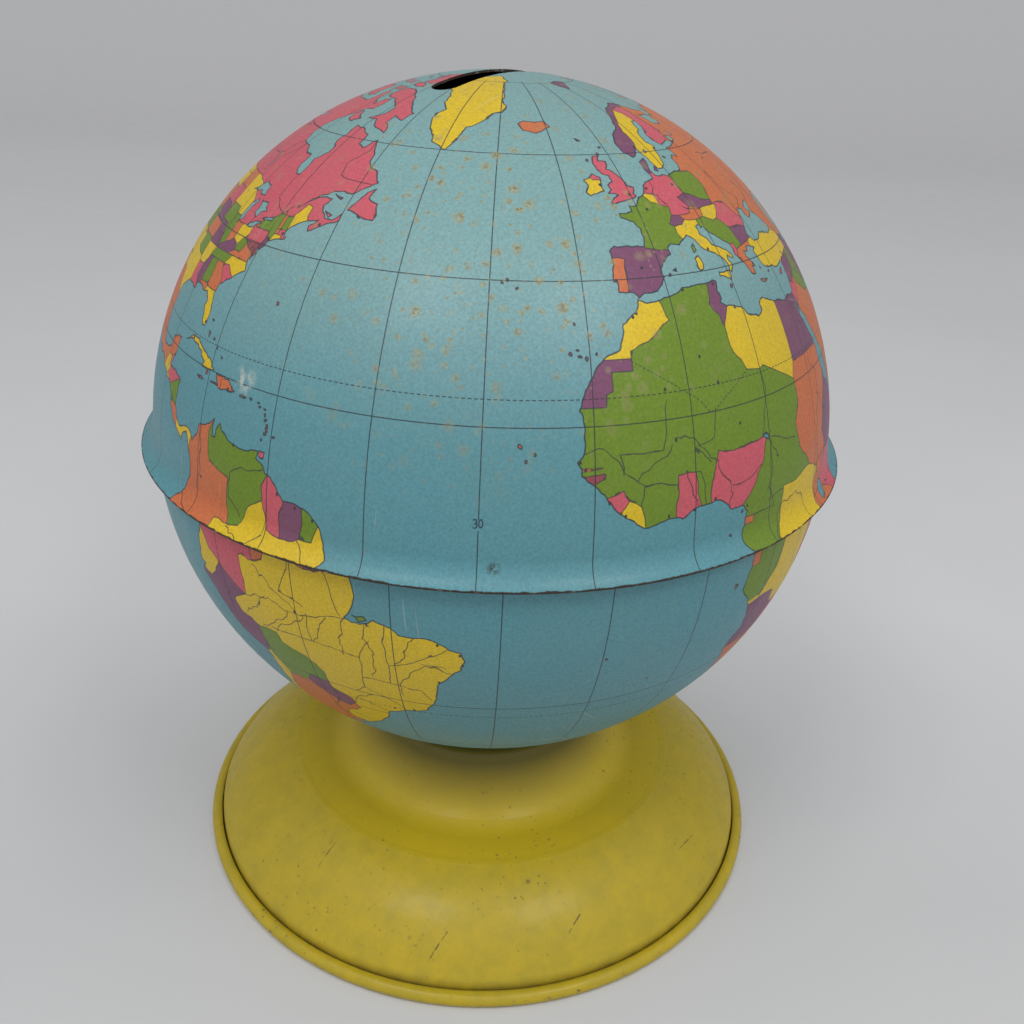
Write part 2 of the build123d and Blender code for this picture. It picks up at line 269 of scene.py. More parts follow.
    "australia pink": """
    113.5,-26 113.8,-22.5 117,-20.7 121.5,-19 123,-16.5 126,-14 128.3,-15 130,-13 132.5,-11.3
    136.8,-12.2 135.5,-14.8 139.3,-17.4 141,-16 142.3,-10.8 143.7,-14.3 145.4,-14.9 146.3,-18.9
    149.5,-22 153,-25.2 153.5,-28.5 151.3,-33.5 150,-37.3 146.5,-39 144,-38.2 140.6,-38
    138.5,-35.5 137.8,-32.8 135.8,-34.8 134.2,-32.7 131,-31.5 126,-32.3 123.5,-33.9 120,-33.9
    118,-35 115.2,-34.2 115.7,-31.8""",
    "iceland orange": """
    -22.5,64 -24,65.6 -22,66.4 -18,66.1 -14.7,66.3 -13.7,65 -16,64.3 -18.8,63.4""",
    "britain pink": """
    -5.5,50.1 -3.5,50.3 -1.5,50.6 1.3,51.2 0.8,51.6 1.7,52.7 0.3,53 -0.2,54.2 -1.6,55.6 -3,56.1
    -2,57.5 -4,57.7 -3.2,58.6 -5,58.5 -5.8,57.2 -5.5,56 -4.8,55.3 -3.2,54.9 -3,53.8 -4.5,53.2
    -4.2,52.4 -5.2,51.8 -3,51.5 -4.2,51.1""",
    "ireland yellow": """
    -6.1,52.2 -6,53.6 -5.7,54.6 -7.3,55.3 -8.5,54.5 -10,54.2 -9.3,53.2 -10.3,52.1 -9.5,51.5""",
    "baffin pink": """
    -65,61.8 -70,62.7 -73.5,64.5 -77.8,64.5 -73.7,65.8 -72.5,67.5 -76.5,69 -80,70 -86,70.2
    -89.5,71.2 -88,73.5 -81,73.7 -76,72.8 -70.5,71 -67,69.2 -62,67 -63.5,65 -68,66 -68,64
    -65.5,63""",
    "victoria_land pink": """
    -105,69 -114,69.3 -117,70.5 -118.5,71.6 -114,73 -107.5,73.2 -105,72 -104.5,70.5 -101.5,69.7""",
    "ellesmere pink": """
    -79,76.3 -89,76.5 -87,78.2 -91.5,80.8 -87,82.3 -70,83.1 -62,82.4 -68,80.8 -76,79 -75.5,78.2""",
    "banks pink": "-123,71.2 -125.5,72.2 -124,74 -117.5,73.5 -119.5,71.8",
    "wales pink": "-97.5,71.8 -100,72.8 -99.5,73.8 -97,73.7",
    "somerset pink": "-95.5,72.4 -90.3,72.8 -91,74 -95.5,73.9",
    "devon pink": "-80,74.8 -91.5,74.9 -92.5,76.1 -82,75.8",
    "axel pink": "-89.5,78.2 -96,80 -94,81.2 -92,80.3",
    "melville pink": "-106,75 -117,75.2 -114,76.4 -108,76.2",
    "bathurst pink": "-98,75 -103,75.5 -100,76.6 -97.5,76",
    "ringnes pink": "-98,78 -104,78.5 -100,79",
    "southampton pink": "-84,62.9 -87,63.6 -85.5,65.8 -81,64",
    "newfoundland pink": """
    -53,46.7 -55.5,46.9 -59.3,47.7 -58.3,49 -57,50.8 -55.5,51.6 -56,50 -53.5,49.3 -53,48
    -52.7,47.4""",
    "anticosti pink": "-64.3,49.8 -62,49.4 -62.3,49.1",
    "prince_edward pink": "-64.2,46.9 -62.2,46.5 -62.8,46.1",
    "vancouver pink": "-123.4,48.4 -125.5,48.8 -128.2,50.7 -125.9,50.3 -124.4,49.2",
    "charlottes pink": "-131.2,52.2 -133,54 -131.8,54",
    "kodiak yellow": "-154.5,57 -153,58.3 -152.2,57.5",
    "cuba yellow": """
    -84.9,21.9 -83,23 -80.5,23.1 -77.5,21.8 -74.2,20.2 -77.6,19.9 -77.2,20.6 -78.5,21 -78.7,21.6
    -82,22.4 -82.2,22.7 -83.9,22.2""",
    "marajo green": "-50.6,-0.4 -48.8,-0.3 -48.5,-0.9 -49.6,-1.6",
    "hispaniola orange": """
    -74.4,18.4 -72.4,18.5 -72.8,19.1 -73.3,19.9 -70,19.8 -68.4,18.6 -70.5,18.3 -71.5,17.7
    -72.5,18.2""",
    "jamaica pink": "-78.3,18.3 -77,18.5 -76.3,18 -77.3,17.8",
    "puerto_rico green": "-67.2,18.4 -65.7,18.4 -66,18 -67.1,18",
    "andros pink": "-78.4,25 -77.8,24.8 -77.9,24",
    "trinidad pink": "-61.8,10.8 -60.9,10.8 -61,10.1 -61.8,10.1",
    "svalbard purple": "16.5,76.6 11,79.5 20,80.4 27,80 21,78.2",
    "franz_josef orange": "50,80.2 60,80.6 56,81.5",
    "novaya orange": "52,71.2 56,73.5 68,76.9 61,76.2 54,73 57.5,70.6",
    "severnaya orange": "98,79 95,81 103,79 105,78.5",
    "new_siberia orange": "138,75.5 145,75.7 149,75.2 141,74.8",
    "wrangel orange": "179,71.3 182,71.2 180,70.8",
    "sicily yellow": "12.5,37.7 12.8,38.2 15.5,38.2 15.1,36.7",
    "sardinia yellow": "8.4,39 8.3,40.8 9.3,41.2 9.7,40 9.3,39.2",
    "corsica green": "8.7,41.7 8.7,42.6 9.4,43 9.5,42",
    "crete orange": "23.6,35.4 24.2,35.5 26.2,35.2 24.8,34.9",
    "cyprus pink": "32.4,34.9 33,35.3 34.4,35.6 33.8,35 33,34.6",
    "majorca purple": "2.4,39.6 3.2,39.9 3.1,39.4",
    "zealand purple": "11.2,55.3 12,56 12.5,55.7 12,55",
    "madagascar green": """
    43.7,-23.4 44.4,-20 44.3,-16.2 47,-15.4 49.2,-12 50.4,-15.8 47.3,-24.8 45.3,-25.5""",
    "ceylon pink": "79.8,8 80,9.7 81.8,7.5 80.6,5.9",
    "sumatra yellow": """
    95.3,5.6 97.5,5.2 100.5,2.2 103.5,-0.5 106,-3 105.8,-5.8 104.5,-5.8 102,-3.8 100.3,-1
    98.7,1.7""",
    "java yellow": "105.2,-6.7 106.7,-6 110.5,-6.9 112.7,-6.9 114.5,-7.8 114.4,-8.7 108.5,-7.8",
    "borneo yellow": """
    109.6,2 111.3,2.5 113.8,4 116.7,7 119.2,5.2 117.6,3.5 119,1 117.5,0 116.5,-2 116,-4
    114.5,-3.6 110.2,-2.9 109,-0.3""",
    "celebes yellow": """
    119.5,-5.5 118.9,-2.8 119.8,0.6 121,1.2 124.8,1.6 123.5,0.4 120.3,0.4 120.2,-1 123.3,-0.8
    121.6,-1.9 122.8,-4.5 121.5,-4.2 121,-2.8 120.4,-3 120.4,-5.6""",
    "new_guinea pink": """
    131,-0.8 134.1,-0.8 135.2,-3.3 137.8,-1.5 141,-2.6 144.5,-3.8 147.8,-6 150.8,-10.5 147,-9.2
    144.3,-7.6 142.3,-9.2 138.8,-8.2 138,-5.6 133,-4 132.8,-2.8 133.8,-2.4""",
    "luzon green": "120.6,18.4 122.2,18.4 121.6,15.8 124,13 122.3,13.6 120.6,14 120,15.8",
    "mindanao green": "122,7 123.4,8.5 125.5,9.7 126.4,7 125.4,5.7 124,6.5",
    "samar green": "124.4,12.4 125.5,11.2 125,10.2",
    "panay green": "122,11.8 123,11.5 122.4,10.6",
    "palawan green": "117.3,8.3 119.3,11.2 119,10",
    "formosa purple": "120.1,23 121.5,25.2 121.9,25 120.9,22",
    "hainan yellow": "108.7,19.2 110.5,20 110.4,18.8 109.3,18.3",
    "honshu pink": """
    131,34 133,35.5 136,35.7 137,37 138.8,37.8 140,39.6 140.3,41.1 141.5,41.2 141.9,39.5
    140.9,38 140.8,35.8 139.8,35.2 138.2,34.7 136.9,34.6 135.8,33.5 135,34.6 132.3,34""",
    "kyushu pink": "129.8,33 130.9,33.7 131.9,33 131.2,31.4 130.2,31.3",
    "shikoku pink": "132.4,33.4 134.3,34.1 134,33.4 132.9,32.8",
    "hokkaido pink": "140,41.7 140.4,43.2 141.7,45.4 143.5,44.2 145.4,43.4 143.3,42 141,42.4",
    "sakhalin orange": """
    142,46 142,49 142.3,53.5 143,54.2 143.4,52 144.5,49 142.8,47.5 143.3,46.5""",
    "tasmania pink": "144.8,-40.8 148.2,-40.9 147.8,-43 146,-43.5",
    "north_island pink": """
    172.8,-34.5 175.5,-36.6 178.4,-37.8 176.8,-40 175.2,-41.6 173.8,-39.3 174.8,-37.8""",
    "south_island pink": """
    172.8,-40.6 174.2,-41.7 172.7,-43.7 170.6,-45.9 168.4,-46.6 166.6,-45.9 170.7,-42.8""",
    "new_caledonia green": "164,-20.2 166.9,-22.2 166,-22.2",
    "new_britain pink": "148.4,-5.7 152,-4.2 152,-5.2 149.5,-6.3",
    "falklands pink": "-61.2,-51.8 -58,-51.4 -59.5,-52.3",
    "tierra purple": "-68.5,-52.8 -65.2,-54.7 -67,-55.6 -71.5,-54.3 -69.8,-53.2",
}

WATER = {
    "black_sea": """
    28,42 27.6,42.6 28.6,43.8 29.7,45.2 31,46.6 33,46.1 32.6,45.3 33.6,44.5 36.3,45.2 35,46.2
    38.5,47.1 38,46.2 37.2,45.2 39,44.2 41.5,42 41.2,41.1 38.5,41 36,41.6 33.2,42 31.2,41.2
    29,41.2""",
    "caspian": """
    47.6,45.6 49.2,46.5 51.6,47 53,46.6 53.1,45.4 51.2,44.6 51,43 52.6,42.2 53.6,40.8 53.9,37.3
    51.5,36.8 49.2,37.6 49.4,40.3 47.6,43""",
    "aral": "58.5,45.8 60.5,46.5 61.6,45 59.8,43.8 58.3,44.2",
    "baikal": "103.8,51.6 106,52.3 109.8,55.6 109,55.8 105.6,53",
    "balkhash": "73.6,45.5 75,46.7 78.8,46.5 75,46.1",
    "ladoga": "30.8,60.2 32.8,60.4 32.8,61.3 30.5,61.6",
    "onega": "35,61.2 36,61.5 35,62.6",
    "vanern": "12.7,58.6 13.9,58.9 13.4,59.4",
    "superior": """
    -92,46.8 -90,47.8 -88.3,48.8 -85.8,48.4 -84.8,46.6 -86.8,46.5 -88,47.2 -89.6,46.8""",
    "michigan": "-87.7,41.7 -87.9,43.2 -87.5,44.9 -85.9,45.9 -85.2,45.4 -86.3,44.3 -86.4,42.4",
    "huron": "-84.3,45.9 -81.6,45.9 -80,44.6 -81.6,44.2 -82.2,43.2 -83.6,43.8 -83.4,45.1",
    "erie": "-83.3,41.7 -82.6,42.2 -80.2,42.8 -79,42.8 -81.3,41.6",
    "ontario": "-79.7,43.4 -77.5,43.9 -76.3,44.1 -76.3,43.5 -78.5,43.3",
    "winnipeg": "-97,50.4 -96.4,51 -97.8,53.6 -99,53.7 -97.6,52",
    "great_slave": "-115.8,61 -112,61.2 -109.5,62.7 -113,62.2 -116,62",
    "great_bear": "-123,65 -118,66 -120,66.9 -124.5,66",
    "athabasca": "-111,58.7 -106,59.4 -108.5,59.4",
    "nicaragua": "-85.9,12 -84.8,11.1 -85.5,11.2",
    "titicaca": "-70,-15.4 -68.9,-16.5 -69.6,-16.3",
    "victoria": "31.8,-1 32,-2.5 33.5,-2.2 34.1,-0.2 32.8,0.4",
    "tanganyika": "29.1,-3.5 29.6,-6.5 31,-8.7 30,-5",
    "nyasa": "33.9,-9.6 34.3,-12.5 35.2,-14.2 34.8,-11",
    "chad": "13.3,13.8 14.2,12.9 15,13.4 14.2,14.2",
    "rudolf": "35.9,4.6 36.2,3 36.7,3.3",
}

# Islands too small for an outline: a colour, then where each of them lies.
ISLETS = {
    "yellow": "-156,19.6 -157,21 -158.6,21.7 -91,-0.7 20.5,39.3",
    "pink": """
    -78.3,26.7 -76.3,24.2 -74.8,23.2 -73,22.2 -62.8,17.3 -61.8,17.1 -61.4,15.4 -61,13.9
    -61.2,13.2 -61.7,12.1 -59.6,13.1 -64.8,32.3 -1.3,60.3 -3,59 -7,57.8 -14.4,-8 -5.7,-16
    57.5,-20.3 55.5,-4.6 178,-17.8 179.3,-16.6 160,-9.5 158,-8 -36.5,-54.3 -133.5,55.6
    -75.8,19.5 14.4,35.9 72.8,2.5 50.5,26""",
    "orange": """
    -61.6,16.2 -61,14.6 -28,38.6 -25.6,37.8 -27.2,39 -17,32.8 -24.2,15 -23,16.1 -25,17 6.6,0.2
    28,36.2 25.5,37.2""",
    "purple": "-16.5,28.3 -15.5,28 -14,28.6 -17.9,28.7 -16.8,29.2 8.7,3.4 1.5,39",
    "green": """
    -64.8,18.4 -63.2,18.1 55.5,-21.1 -149.5,-17.6 167,-15.4 168.3,-17.7 -140,-9 -56.2,46.9""",
    "maroon": "-7,62 18.6,57.5",
}

# Frontiers, run a little past the coasts.  Those after the bar are ruled straight.
BORDERS = """
    -95.2,49 -93,48.6 -89.5,48 -88.3,48.2; -84.9,47 -84.4,46.5 -83.8,46; -82.4,43.5 -82.5,42.9
    -83.1,42; -79,42.6 -79,43.5; -76.5,44 -75,45; -71.5,45 -70.3,46 -69.2,47.4 -67.8,47.1
    -67.7,45.7 -66.9,44.5; -141,60.3 -139,60 -137.5,58.9 -135.5,59.7 -133,58.3 -130,56 -130,54;
    -95.2,52.8 -88.5,57; -79.5,47.3 -76,45.5 -74.5,45.1; -64,58 -67.5,55 -66.5,53 -64,52.5;
    -136.5,69.3 -132,65 -124,60; -120,53.8 -114.2,49; -74.7,41.4 -75.2,40 -75.6,39.4; -80.5,40.6
    -82.5,38.4; -79.4,39.3 -77.2,38.4 -76.2,37.9; -82,37.5 -80.3,37.5 -79.4,39.3 -79.4,39.8;
    -80.9,35.1 -78.3,33.6; -83.2,35 -81.5,33 -80.7,31.9; -85.1,32.5 -85,30.7; -81.7,36.6
    -83.1,35; -95,47 -93,45 -91.2,43.5 -90.3,41.7 -91.4,40.4 -90.2,38.7 -89.2,37 -89.9,35.2
    -91.1,33.2 -91.2,31.1 -89.8,29.9 -89.1,28.9; -89.2,37 -87.5,37.9 -85.7,38.3 -84.8,39.1
    -82.5,38.4; -83.7,36.6 -82,37.5 -82.5,38.4; -90.4,46.9 -87.4,45.1; -96.5,43.5 -95.8,40.6
    -94.6,39; -100,34.5 -97,33.8 -94.4,33.6; -96.5,42.5 -98.5,43; -116,48 -114,45.6 -113,44.5
    -111,44.6; -124.2,46.2 -119,46; -94,31 -93.8,29.4; -106.5,31.8 -104.5,29.6 -102.5,29.8
    -101,29.5 -99.5,27.5 -97,25.8; -92.4,14.3 -92,15.2 -91.5,16 -90.9,17.8; -89.1,17.8
    -88.1,18.6; -88.5,16 -89.3,14.4 -90.2,13.5; -89.3,14.4 -87.6,13; -87.6,12.8 -85.8,13.9
    -83.1,15.2; -86,11.1 -84.5,10.9 -83.5,10.8; -82.9,8 -82.5,9.9; -78,7 -77.2,8.9; -71.6,12.2
    -72.6,10.8 -72.5,8.5 -72,7.2 -67.5,6.2 -67.8,3 -67,1.2 -69.8,1.2 -69.5,-1 -70,-4.2 -73,-2.3
    -75.3,-0.1 -77.5,0.5 -79.4,1.7; -75.3,-0.1 -77,-3 -78.5,-4.6 -80.6,-4.2 -80.4,-3; -67,1.2
    -65,1.5 -63.5,3.8 -60.8,5.2 -61,7 -59.6,8.8; -60.8,5.2 -59.8,2.2 -57.5,1.8 -57.8,4.5
    -57,6.4; -57.5,1.8 -54.5,2.3 -54,4 -54.1,6.2; -54.5,2.3 -52.5,2.3 -51.3,4.8; -70,-4.2
    -73.5,-7 -72.5,-9.5 -70.5,-9.8 -69.5,-11 -69,-15 -69.5,-17.5 -70.8,-18.5; -69.5,-11
    -65.3,-10.5 -65,-12.5 -60.5,-14 -58,-17 -58,-20 -57.8,-22 -54.5,-24 -54.6,-25.6 -53.8,-26.8
    -57.6,-30.2 -55,-31.2 -53.2,-33.6 -53,-34.4; -69.5,-17.5 -68.3,-20 -67.2,-22.8 -62.8,-22
    -61.8,-19.8 -58,-20; -62.8,-22 -58.5,-26.8 -56,-27.3 -54.6,-25.6; -57.6,-30.2 -58.3,-33
    -58.3,-34.1 -58,-34.6; -67.2,-22.8 -68.5,-26 -70,-30 -70,-34 -71.2,-38 -71.8,-42 -71.6,-46
    -73,-50 -71.9,-52 -68,-52.3; -8.5,54.9 -7.7,54.2 -6.6,54.2 -5.6,54; -9,42 -6.5,41.8 -7,39.5
    -7.4,36.8; -2.2,43.7 -1.5,43.1 1,42.7 3.7,42.4; 2.2,51.5 4.2,50 6,49.5 8.2,49 7.6,47.6
    6.1,46.3 7,45.9 6.8,44.7 7.6,43.3; 3.2,51.7 5.8,51.2 6,49.5; 5.8,51.2 7.1,52.3 7.1,53.9;
    8.1,54.9 10.3,54.9; 7.6,47.6 9.6,47.5 10.4,46.7 9,46 7,45.9; 10.4,46.7 13.6,46.5 13.4,45.2;
    9.6,47.5 13,47.6 13.8,48.7 12.2,50.3 15,50.9 14.6,53 14.2,54.4; 13.8,48.7 17,48.1 16.2,46.8
    13.6,46.5; 15,50.9 18.8,49.6 22.5,49.1 22.3,48.4 17,48.1; 16.2,46.8 18.8,45.9 20.3,46.1
    22.8,48 22.3,48.4 26.6,48.2 28.2,46 30,45.2; 20.3,46.1 22.6,44.3 27,44.1 29,43.7; 22.6,44.3
    23,41.3 26.4,41.7 28.4,42.1; 26.4,41.7 26,40.4; 19,41.8 20.5,42 20.9,40.9 19.9,39.3;
    20.9,40.9 23,41.3; 22.5,49.1 23.8,51 23.6,53.9 22.8,54.4 19.4,54.5; 10.9,59 12.2,61
    12.2,63.6 15.5,66.3 20.5,69 26,69.8 29,69.3 30,67.5 29.6,64.8 31.5,62.9 27.8,60.2; 20.5,69
    23.7,67.8 24.1,65.4; 29,69.3 31,70; 41.2,41.6 43.5,40.8 44.8,39.7 44.8,37.2 42.3,37.2
    37,36.7 35.9,36; 44.8,39.7 48,39 49.4,38.2; 53.6,37.3 57,38 61.2,36.6 61.2,35.5 60.8,31.5
    61,29.8 63,26.8 61.5,24.8; 44.8,37.2 46,34 48,31 48.7,29.7; 42.3,37.2 41,34.4 38.8,33.4
    36.8,32.3 35.8,32.8 34.8,33.1; 38.8,33.4 37,31 34.8,29.2; 38.8,33.4 39.2,32.1 44.7,29.2
    48.6,28.5; 34,31.1 34.9,29.3; 43.2,12.5 45,17 52,19 55,22 51.5,24.5; 55,22 56.4,24.5;
    -2.2,35.4 -1.2,32.5 -5.5,29.8 -8.7,28.7; 8.6,37.3 8.3,35.5 7.6,33.9 9.1,32.1 9.5,30.2
    10.3,31.5 11.5,33.4; 9.5,30.2 9.9,26.5 12,23.5; 24,19.5 24,16 22.5,13 23.5,9 27.4,5 30.8,3.6
    35.2,4.8 36,4.5; 36,4.5 34,8.5 36.2,14 38.5,18; 36,4.5 41.8,3.9 45,5 48,8 44,9.2 42.8,11
    43.4,11.5; 41.8,3.9 41,-0.8 41.6,-2; 27.4,5 22.5,4.2 18.6,4.5 17.8,-0.5 16,-3 15,-4.9
    12.5,-4.9 11.6,-5; 14.4,13.2 13.3,10 11,6.5 8.4,4.2; 15,12.6 15.5,7.5 14.5,5.5 16,2.2; 2.7,6
    2.8,9 3.6,11.7 4.1,13.6 8,13 12,13.3 13.7,13.6; 1.2,5.7 0.3,8 0,11 -2.9,11 -2.8,8 -3.1,4.7;
    1.8,6 1.6,9 0.8,11 0,11; -7.5,4 -8.5,7.6 -8,10.2 -5.5,10.4 -2.9,9.8; -11.7,6.7 -10.2,8.5
    -8.5,7.6; -13.6,9 -11,10 -10.2,8.5; -17,12.3 -13.7,12.6 -13.8,11.7 -15.4,10.8; -17,13.7
    -13.9,13.6 -17,13.1; 11.5,-6 16.5,-5.9 20.5,-7 22,-11 24,-11; 15.5,20 13.5,13.9; 24,-11
    28.5,-12 28.4,-9 30.8,-8.3 29.3,-6 29,-2 29.8,0 31,2.2 30.8,3.6; 34,4.3 34,0.5 33.9,-1;
    29.5,-1.2 33.9,-1 37.6,-3 39.4,-4.9; 41,-10.5 37,-11.7 34.6,-11.6; 34.9,-14 35.7,-15.8
    35,-17 34.4,-15 33,-14; 33,-9.5 34.1,-9.7; 30.8,-8.3 33,-9.5 33,-14 30.3,-15.5 32.8,-18
    31.3,-22.4 32,-26.8 33.2,-26.8; 31.3,-22.4 29.3,-22.2 25.5,-25.5 20.8,-27 20,-24.8;
    23.4,-17.6 14,-17.4 11.4,-17.2; 25.3,-17.8 26,-20 29.3,-22.2; 23.4,-17.6 25.3,-17.8 28.8,-16
    30.3,-15.5; 20,-28.4 16.2,-28.7; 27,-29.6 28.5,-28.6 29.4,-29.6 28,-30.6 27,-29.6; 87.5,49.2
    80.2,45 80,42 73.8,39.5 74.8,37.3 71.5,38 66.5,37.4 61.2,35.5; 87.5,49.2 92,50.7 98.5,52
    102,50.5 107,49.4 116.7,49.8 120,52 121,53.4 126,52.8 127.8,49.6 130.8,48 135,48.4 133.2,45
    131,44.8 130.6,42.4 131,41.9; 87.5,49.2 91,45.2 96.5,42.7 105,41.7 112,43.5 119.8,46.7
    116.7,49.8; 123.5,38.9 128,42 130.6,42.4; 61,29.8 66.3,29.9 70,33 71.5,36.4 74.8,37.3
    77.8,35.5 79,31 81.2,30 88.1,27.9 92,27.8 97.3,28.3 95,26.5 93.2,24 92.3,22 92.2,20.4;
    67.5,23.5 71,24.5 70.2,28 74,31 74.2,34 77.8,35.5; 81.2,30 80.2,28.8 88.1,26.4 88.1,27.9;
    88.2,26.4 88.9,21.4; 88.2,26 92,25 92.3,22; 97.3,28.3 98.7,25 101.1,21.6 105.3,23.2
    108.2,21.2; 101.1,21.6 100,20.4 97.8,18 98.6,14.5 99.2,12 98.3,9.8; 100,20.4 101.2,17.5
    104.8,16.5 105.5,14.5 102.5,13.6 102.8,11.3; 102.2,22.4 104.8,20 107.5,15 106,11.3 104.4,10;
    99.6,6.7 101.5,5.8 102.4,6.6; 109.5,1.7 112,1.4 115,2.8 118.3,4.2; 141,-5 144,-6.3 148,-8.6;
    141,-34 144,-36 150.2,-37.9; -71.8,17.5 -71.7,20.1 | -124.5,48.5 -122.9,49 -95.2,49; -75,45
    -71.5,45; -141,70.5 -141,60.3; -110,60 -110,49; -120,60 -120,53.8; -102,60 -101.5,49;
    -139,60 -94,60; -95.2,49 -95.2,52.8; -79.5,51.7 -79.5,47.3; -64.5,60.8 -64,58; -64,52.5
    -57,52.2 -57,51.2; -71,45.4 -70.7,42.8; -73.4,45 -73.3,42.7 -73.6,40.8; -73.3,42.7
    -70.6,42.8; -73.5,42 -71.2,41.9 -71.2,41.2; -72.5,45 -72.5,42.7; -79.8,42.6 -79.8,42
    -75.3,42 -74.7,41.4 -73.8,40.9; -80.5,39.7 -75.6,39.7; -80.5,42.3 -80.5,40.6; -83.7,36.6
    -75.7,36.55; -83.1,35 -80.9,35.1; -87.5,31 -85,31 -85,30.7 -82.2,30.6 -81.2,30.7; -87.5,31
    -87.5,30.1; -85.6,35 -85.1,32.5; -88.2,35 -88.4,30.1; -90.3,35 -83.1,35; -94.6,36.5
    -89.5,36.5 -83.7,36.6; -84.8,39.1 -84.8,41.7; -87.6,41.7 -83.2,41.7; -87.5,37.9 -87.5,41.8;
    -90.6,42.5 -87.6,42.5; -96.5,43.5 -91.2,43.5; -95.8,40.6 -91.4,40.5; -97.2,49 -96.5,45.5
    -96.5,43.5; -94.6,39 -94.6,36.5; -94,33 -91.1,33; -94.6,36.5 -94.4,33.6 -94,33 -94,31;
    -100,34.5 -100,36.5 -103,36.5; -102,37 -94.6,37; -102,40 -95.4,40; -104,43 -98.5,43; -104,46
    -96.5,46; -104,49 -104,41; -111,45 -104,45; -111,41 -102,41; -111,45 -111,41; -109,41
    -109,37; -109,37 -102,37; -102,41 -102,37; -103,37 -103,32 -106.6,32 -106.5,31.8; -109,37
    -109,31.3; -111,42 -111,41; -114,42 -111,42; -114,42 -114,37 -109,37; -114,37 -114.6,35
    -114.7,32.7; -120,42 -120,39 -114.6,35; -124.6,42 -114,42; -117,46 -117,42; -119,46 -117,46;
    -117,49 -117,46; -116,49 -116,48; -111,44.6 -111,45; -117.4,32.5 -114.7,32.7 -111,31.3
    -106.5,31.8; -90.9,17.8 -89.1,17.8 -89.2,15.9 -88.3,15.7; 25,32.2 25,22 36.9,22; 25,22 24,20
    24,19.5; -13,27.7 -8.7,27.7 -8.7,28.7; -8.7,27.7 -8.7,26 -12,26 -12,23.4 -13,23 -13.1,21.3
    -17.2,21.3 -17.2,20.6; 12,23.5 15,23 16,23.4 24,19.5; 15,23 15.5,20; 16,2.2 11.3,2.2
    9.4,2.2; 11.3,2.2 11.3,1 9.2,1; 24,-11 24,-13 22,-13 22,-16 23.4,-17.6; 20,-24.8 20,-22
    21,-22 21,-18.3 23.4,-17.6; 20,-24.8 20,-28.4; 124.6,38 128.9,38.4; 141,-2 141,-9.6;
    129,-14.2 129,-32.6; 138,-16 138,-26; 129,-26 141,-26 141,-38.5; 141,-29 149,-29 154,-28.2"""

# The long frontier across the desert is printed in dashes.
DESERT = "-8.7,27.3 -4.8,25 1.2,21.1 3.3,19 4.3,19.2 12,23.5"

RIVERS = """
    -50.3,0 -52,-1.6 -55,-2.2 -58.5,-3.3 -62,-3.8 -65,-2.5 -70,-4.2 -73.5,-4.5 -75,-9; -60,-3.1
    -62.5,-1 -67,1; -58.8,-3.4 -61,-6 -65,-10; -54.8,-2.4 -56.5,-6 -58,-9; -52,-1.6 -52.5,-5
    -53,-10; -49,-1.5 -49.5,-5 -48.3,-10 -49,-14; -61.5,-3.8 -65,-8 -68,-10; -65.7,-2.6 -68,-6
    -71,-8.5; -36.4,-10.5 -40.5,-9 -43.5,-13 -44.5,-18; -58.4,-34 -60.5,-32 -58.8,-27.4;
    -54.6,-25.6 -53,-22 -50,-20; -58.6,-27.3 -57.6,-25 -58,-20; -61,8.8 -64,8 -67.2,7 -67.5,4
    -65,2.5; -74.8,11 -74.3,8 -75.3,3; -41.8,-2.9 -43,-5.5 -45,-9.5; 6,4.4 6.7,6.5 5.5,9 4,11.8
    2,14 0,16.5 -3,16.8 -5.5,14 -9,11; 6.7,7.8 10,8 13,9.5; -16.4,16 -14.5,16.6 -12,14.8 -11,12;
    31,31.4 31,29 32.5,26 33,24 31,20.5 33.8,18.5 32.6,15.6 32.3,13 31,9.5 31.5,5 31.2,2.5
    33,0.4; 32.6,15.6 35,11.5 37.5,11.5; 12.3,-6 15.3,-4.3 17,-1 18.5,1.8 22.5,2.3 25,0.8 26,-4
    27,-9; 0.6,5.8 -0.5,8 -1.5,11.5; 36.2,-18.8 33,-16; 23.4,-17.6 23,-14; 16.5,-28.6 20.5,-28.5
    25,-30; 14.5,12.9 17,9.5; 27,44.1 22.5,44.3; 17,48 12,48.8; 4.2,52 7,51 8.2,49; 48,46
    45,48.5 48,53 49,55.8 44,56.3 37,57; 32.3,46.6 35,48 31,50.5 31,54; 39.3,47 42,49 39,52;
    72,66.5 66,64 68.5,61 76,60.8 83,56.5 85,52.5; 82.5,71.5 86.5,68 87.5,64 91,58 92,53;
    127,72.5 124,68 127,64 129,62 121,60.4 107,54.5; 141,53 136.5,49.8 135,48.4; 121.5,31.6
    117,30.8 112,30 108,30.5 103.5,28.5 99.5,28 95,33; 118.8,37.8 114,35 110.3,35 110.5,40
    106.5,38.5 103.8,36 98,34.5; 106.6,10 105.8,14; 89.5,22 87,25.2 82,25.5 78.3,29.5; 67.6,24
    68.5,27.5 71,31.5 73,35.5 78,33.5; 48,30.2 45,32 42.5,36.5; 47.2,31 41,34.5 38.5,37.8;
    -70.8,47 -74,45.4 -76.3,44.2; -135,69 -130,66.5 -124,64 -118,61.3; -164.5,62.8 -157,63
    -150,65.5 -144,66 -138,63 -135.5,61; -90.2,38.8 -94.6,39.1; -96.5,42.5 -101,46.5 -104,48
    -111,47.5; -114.6,35 -112,36.4 -109,39; -92.8,57 -96,54 -98,53.5; -99,53.2 -105,53
    -113,53.5; 142,-35 147,-35.5; 144,-33 148,-28; 95.5,16 95,20 97,25; 81.5,16.5 79.5,19 75,20"""

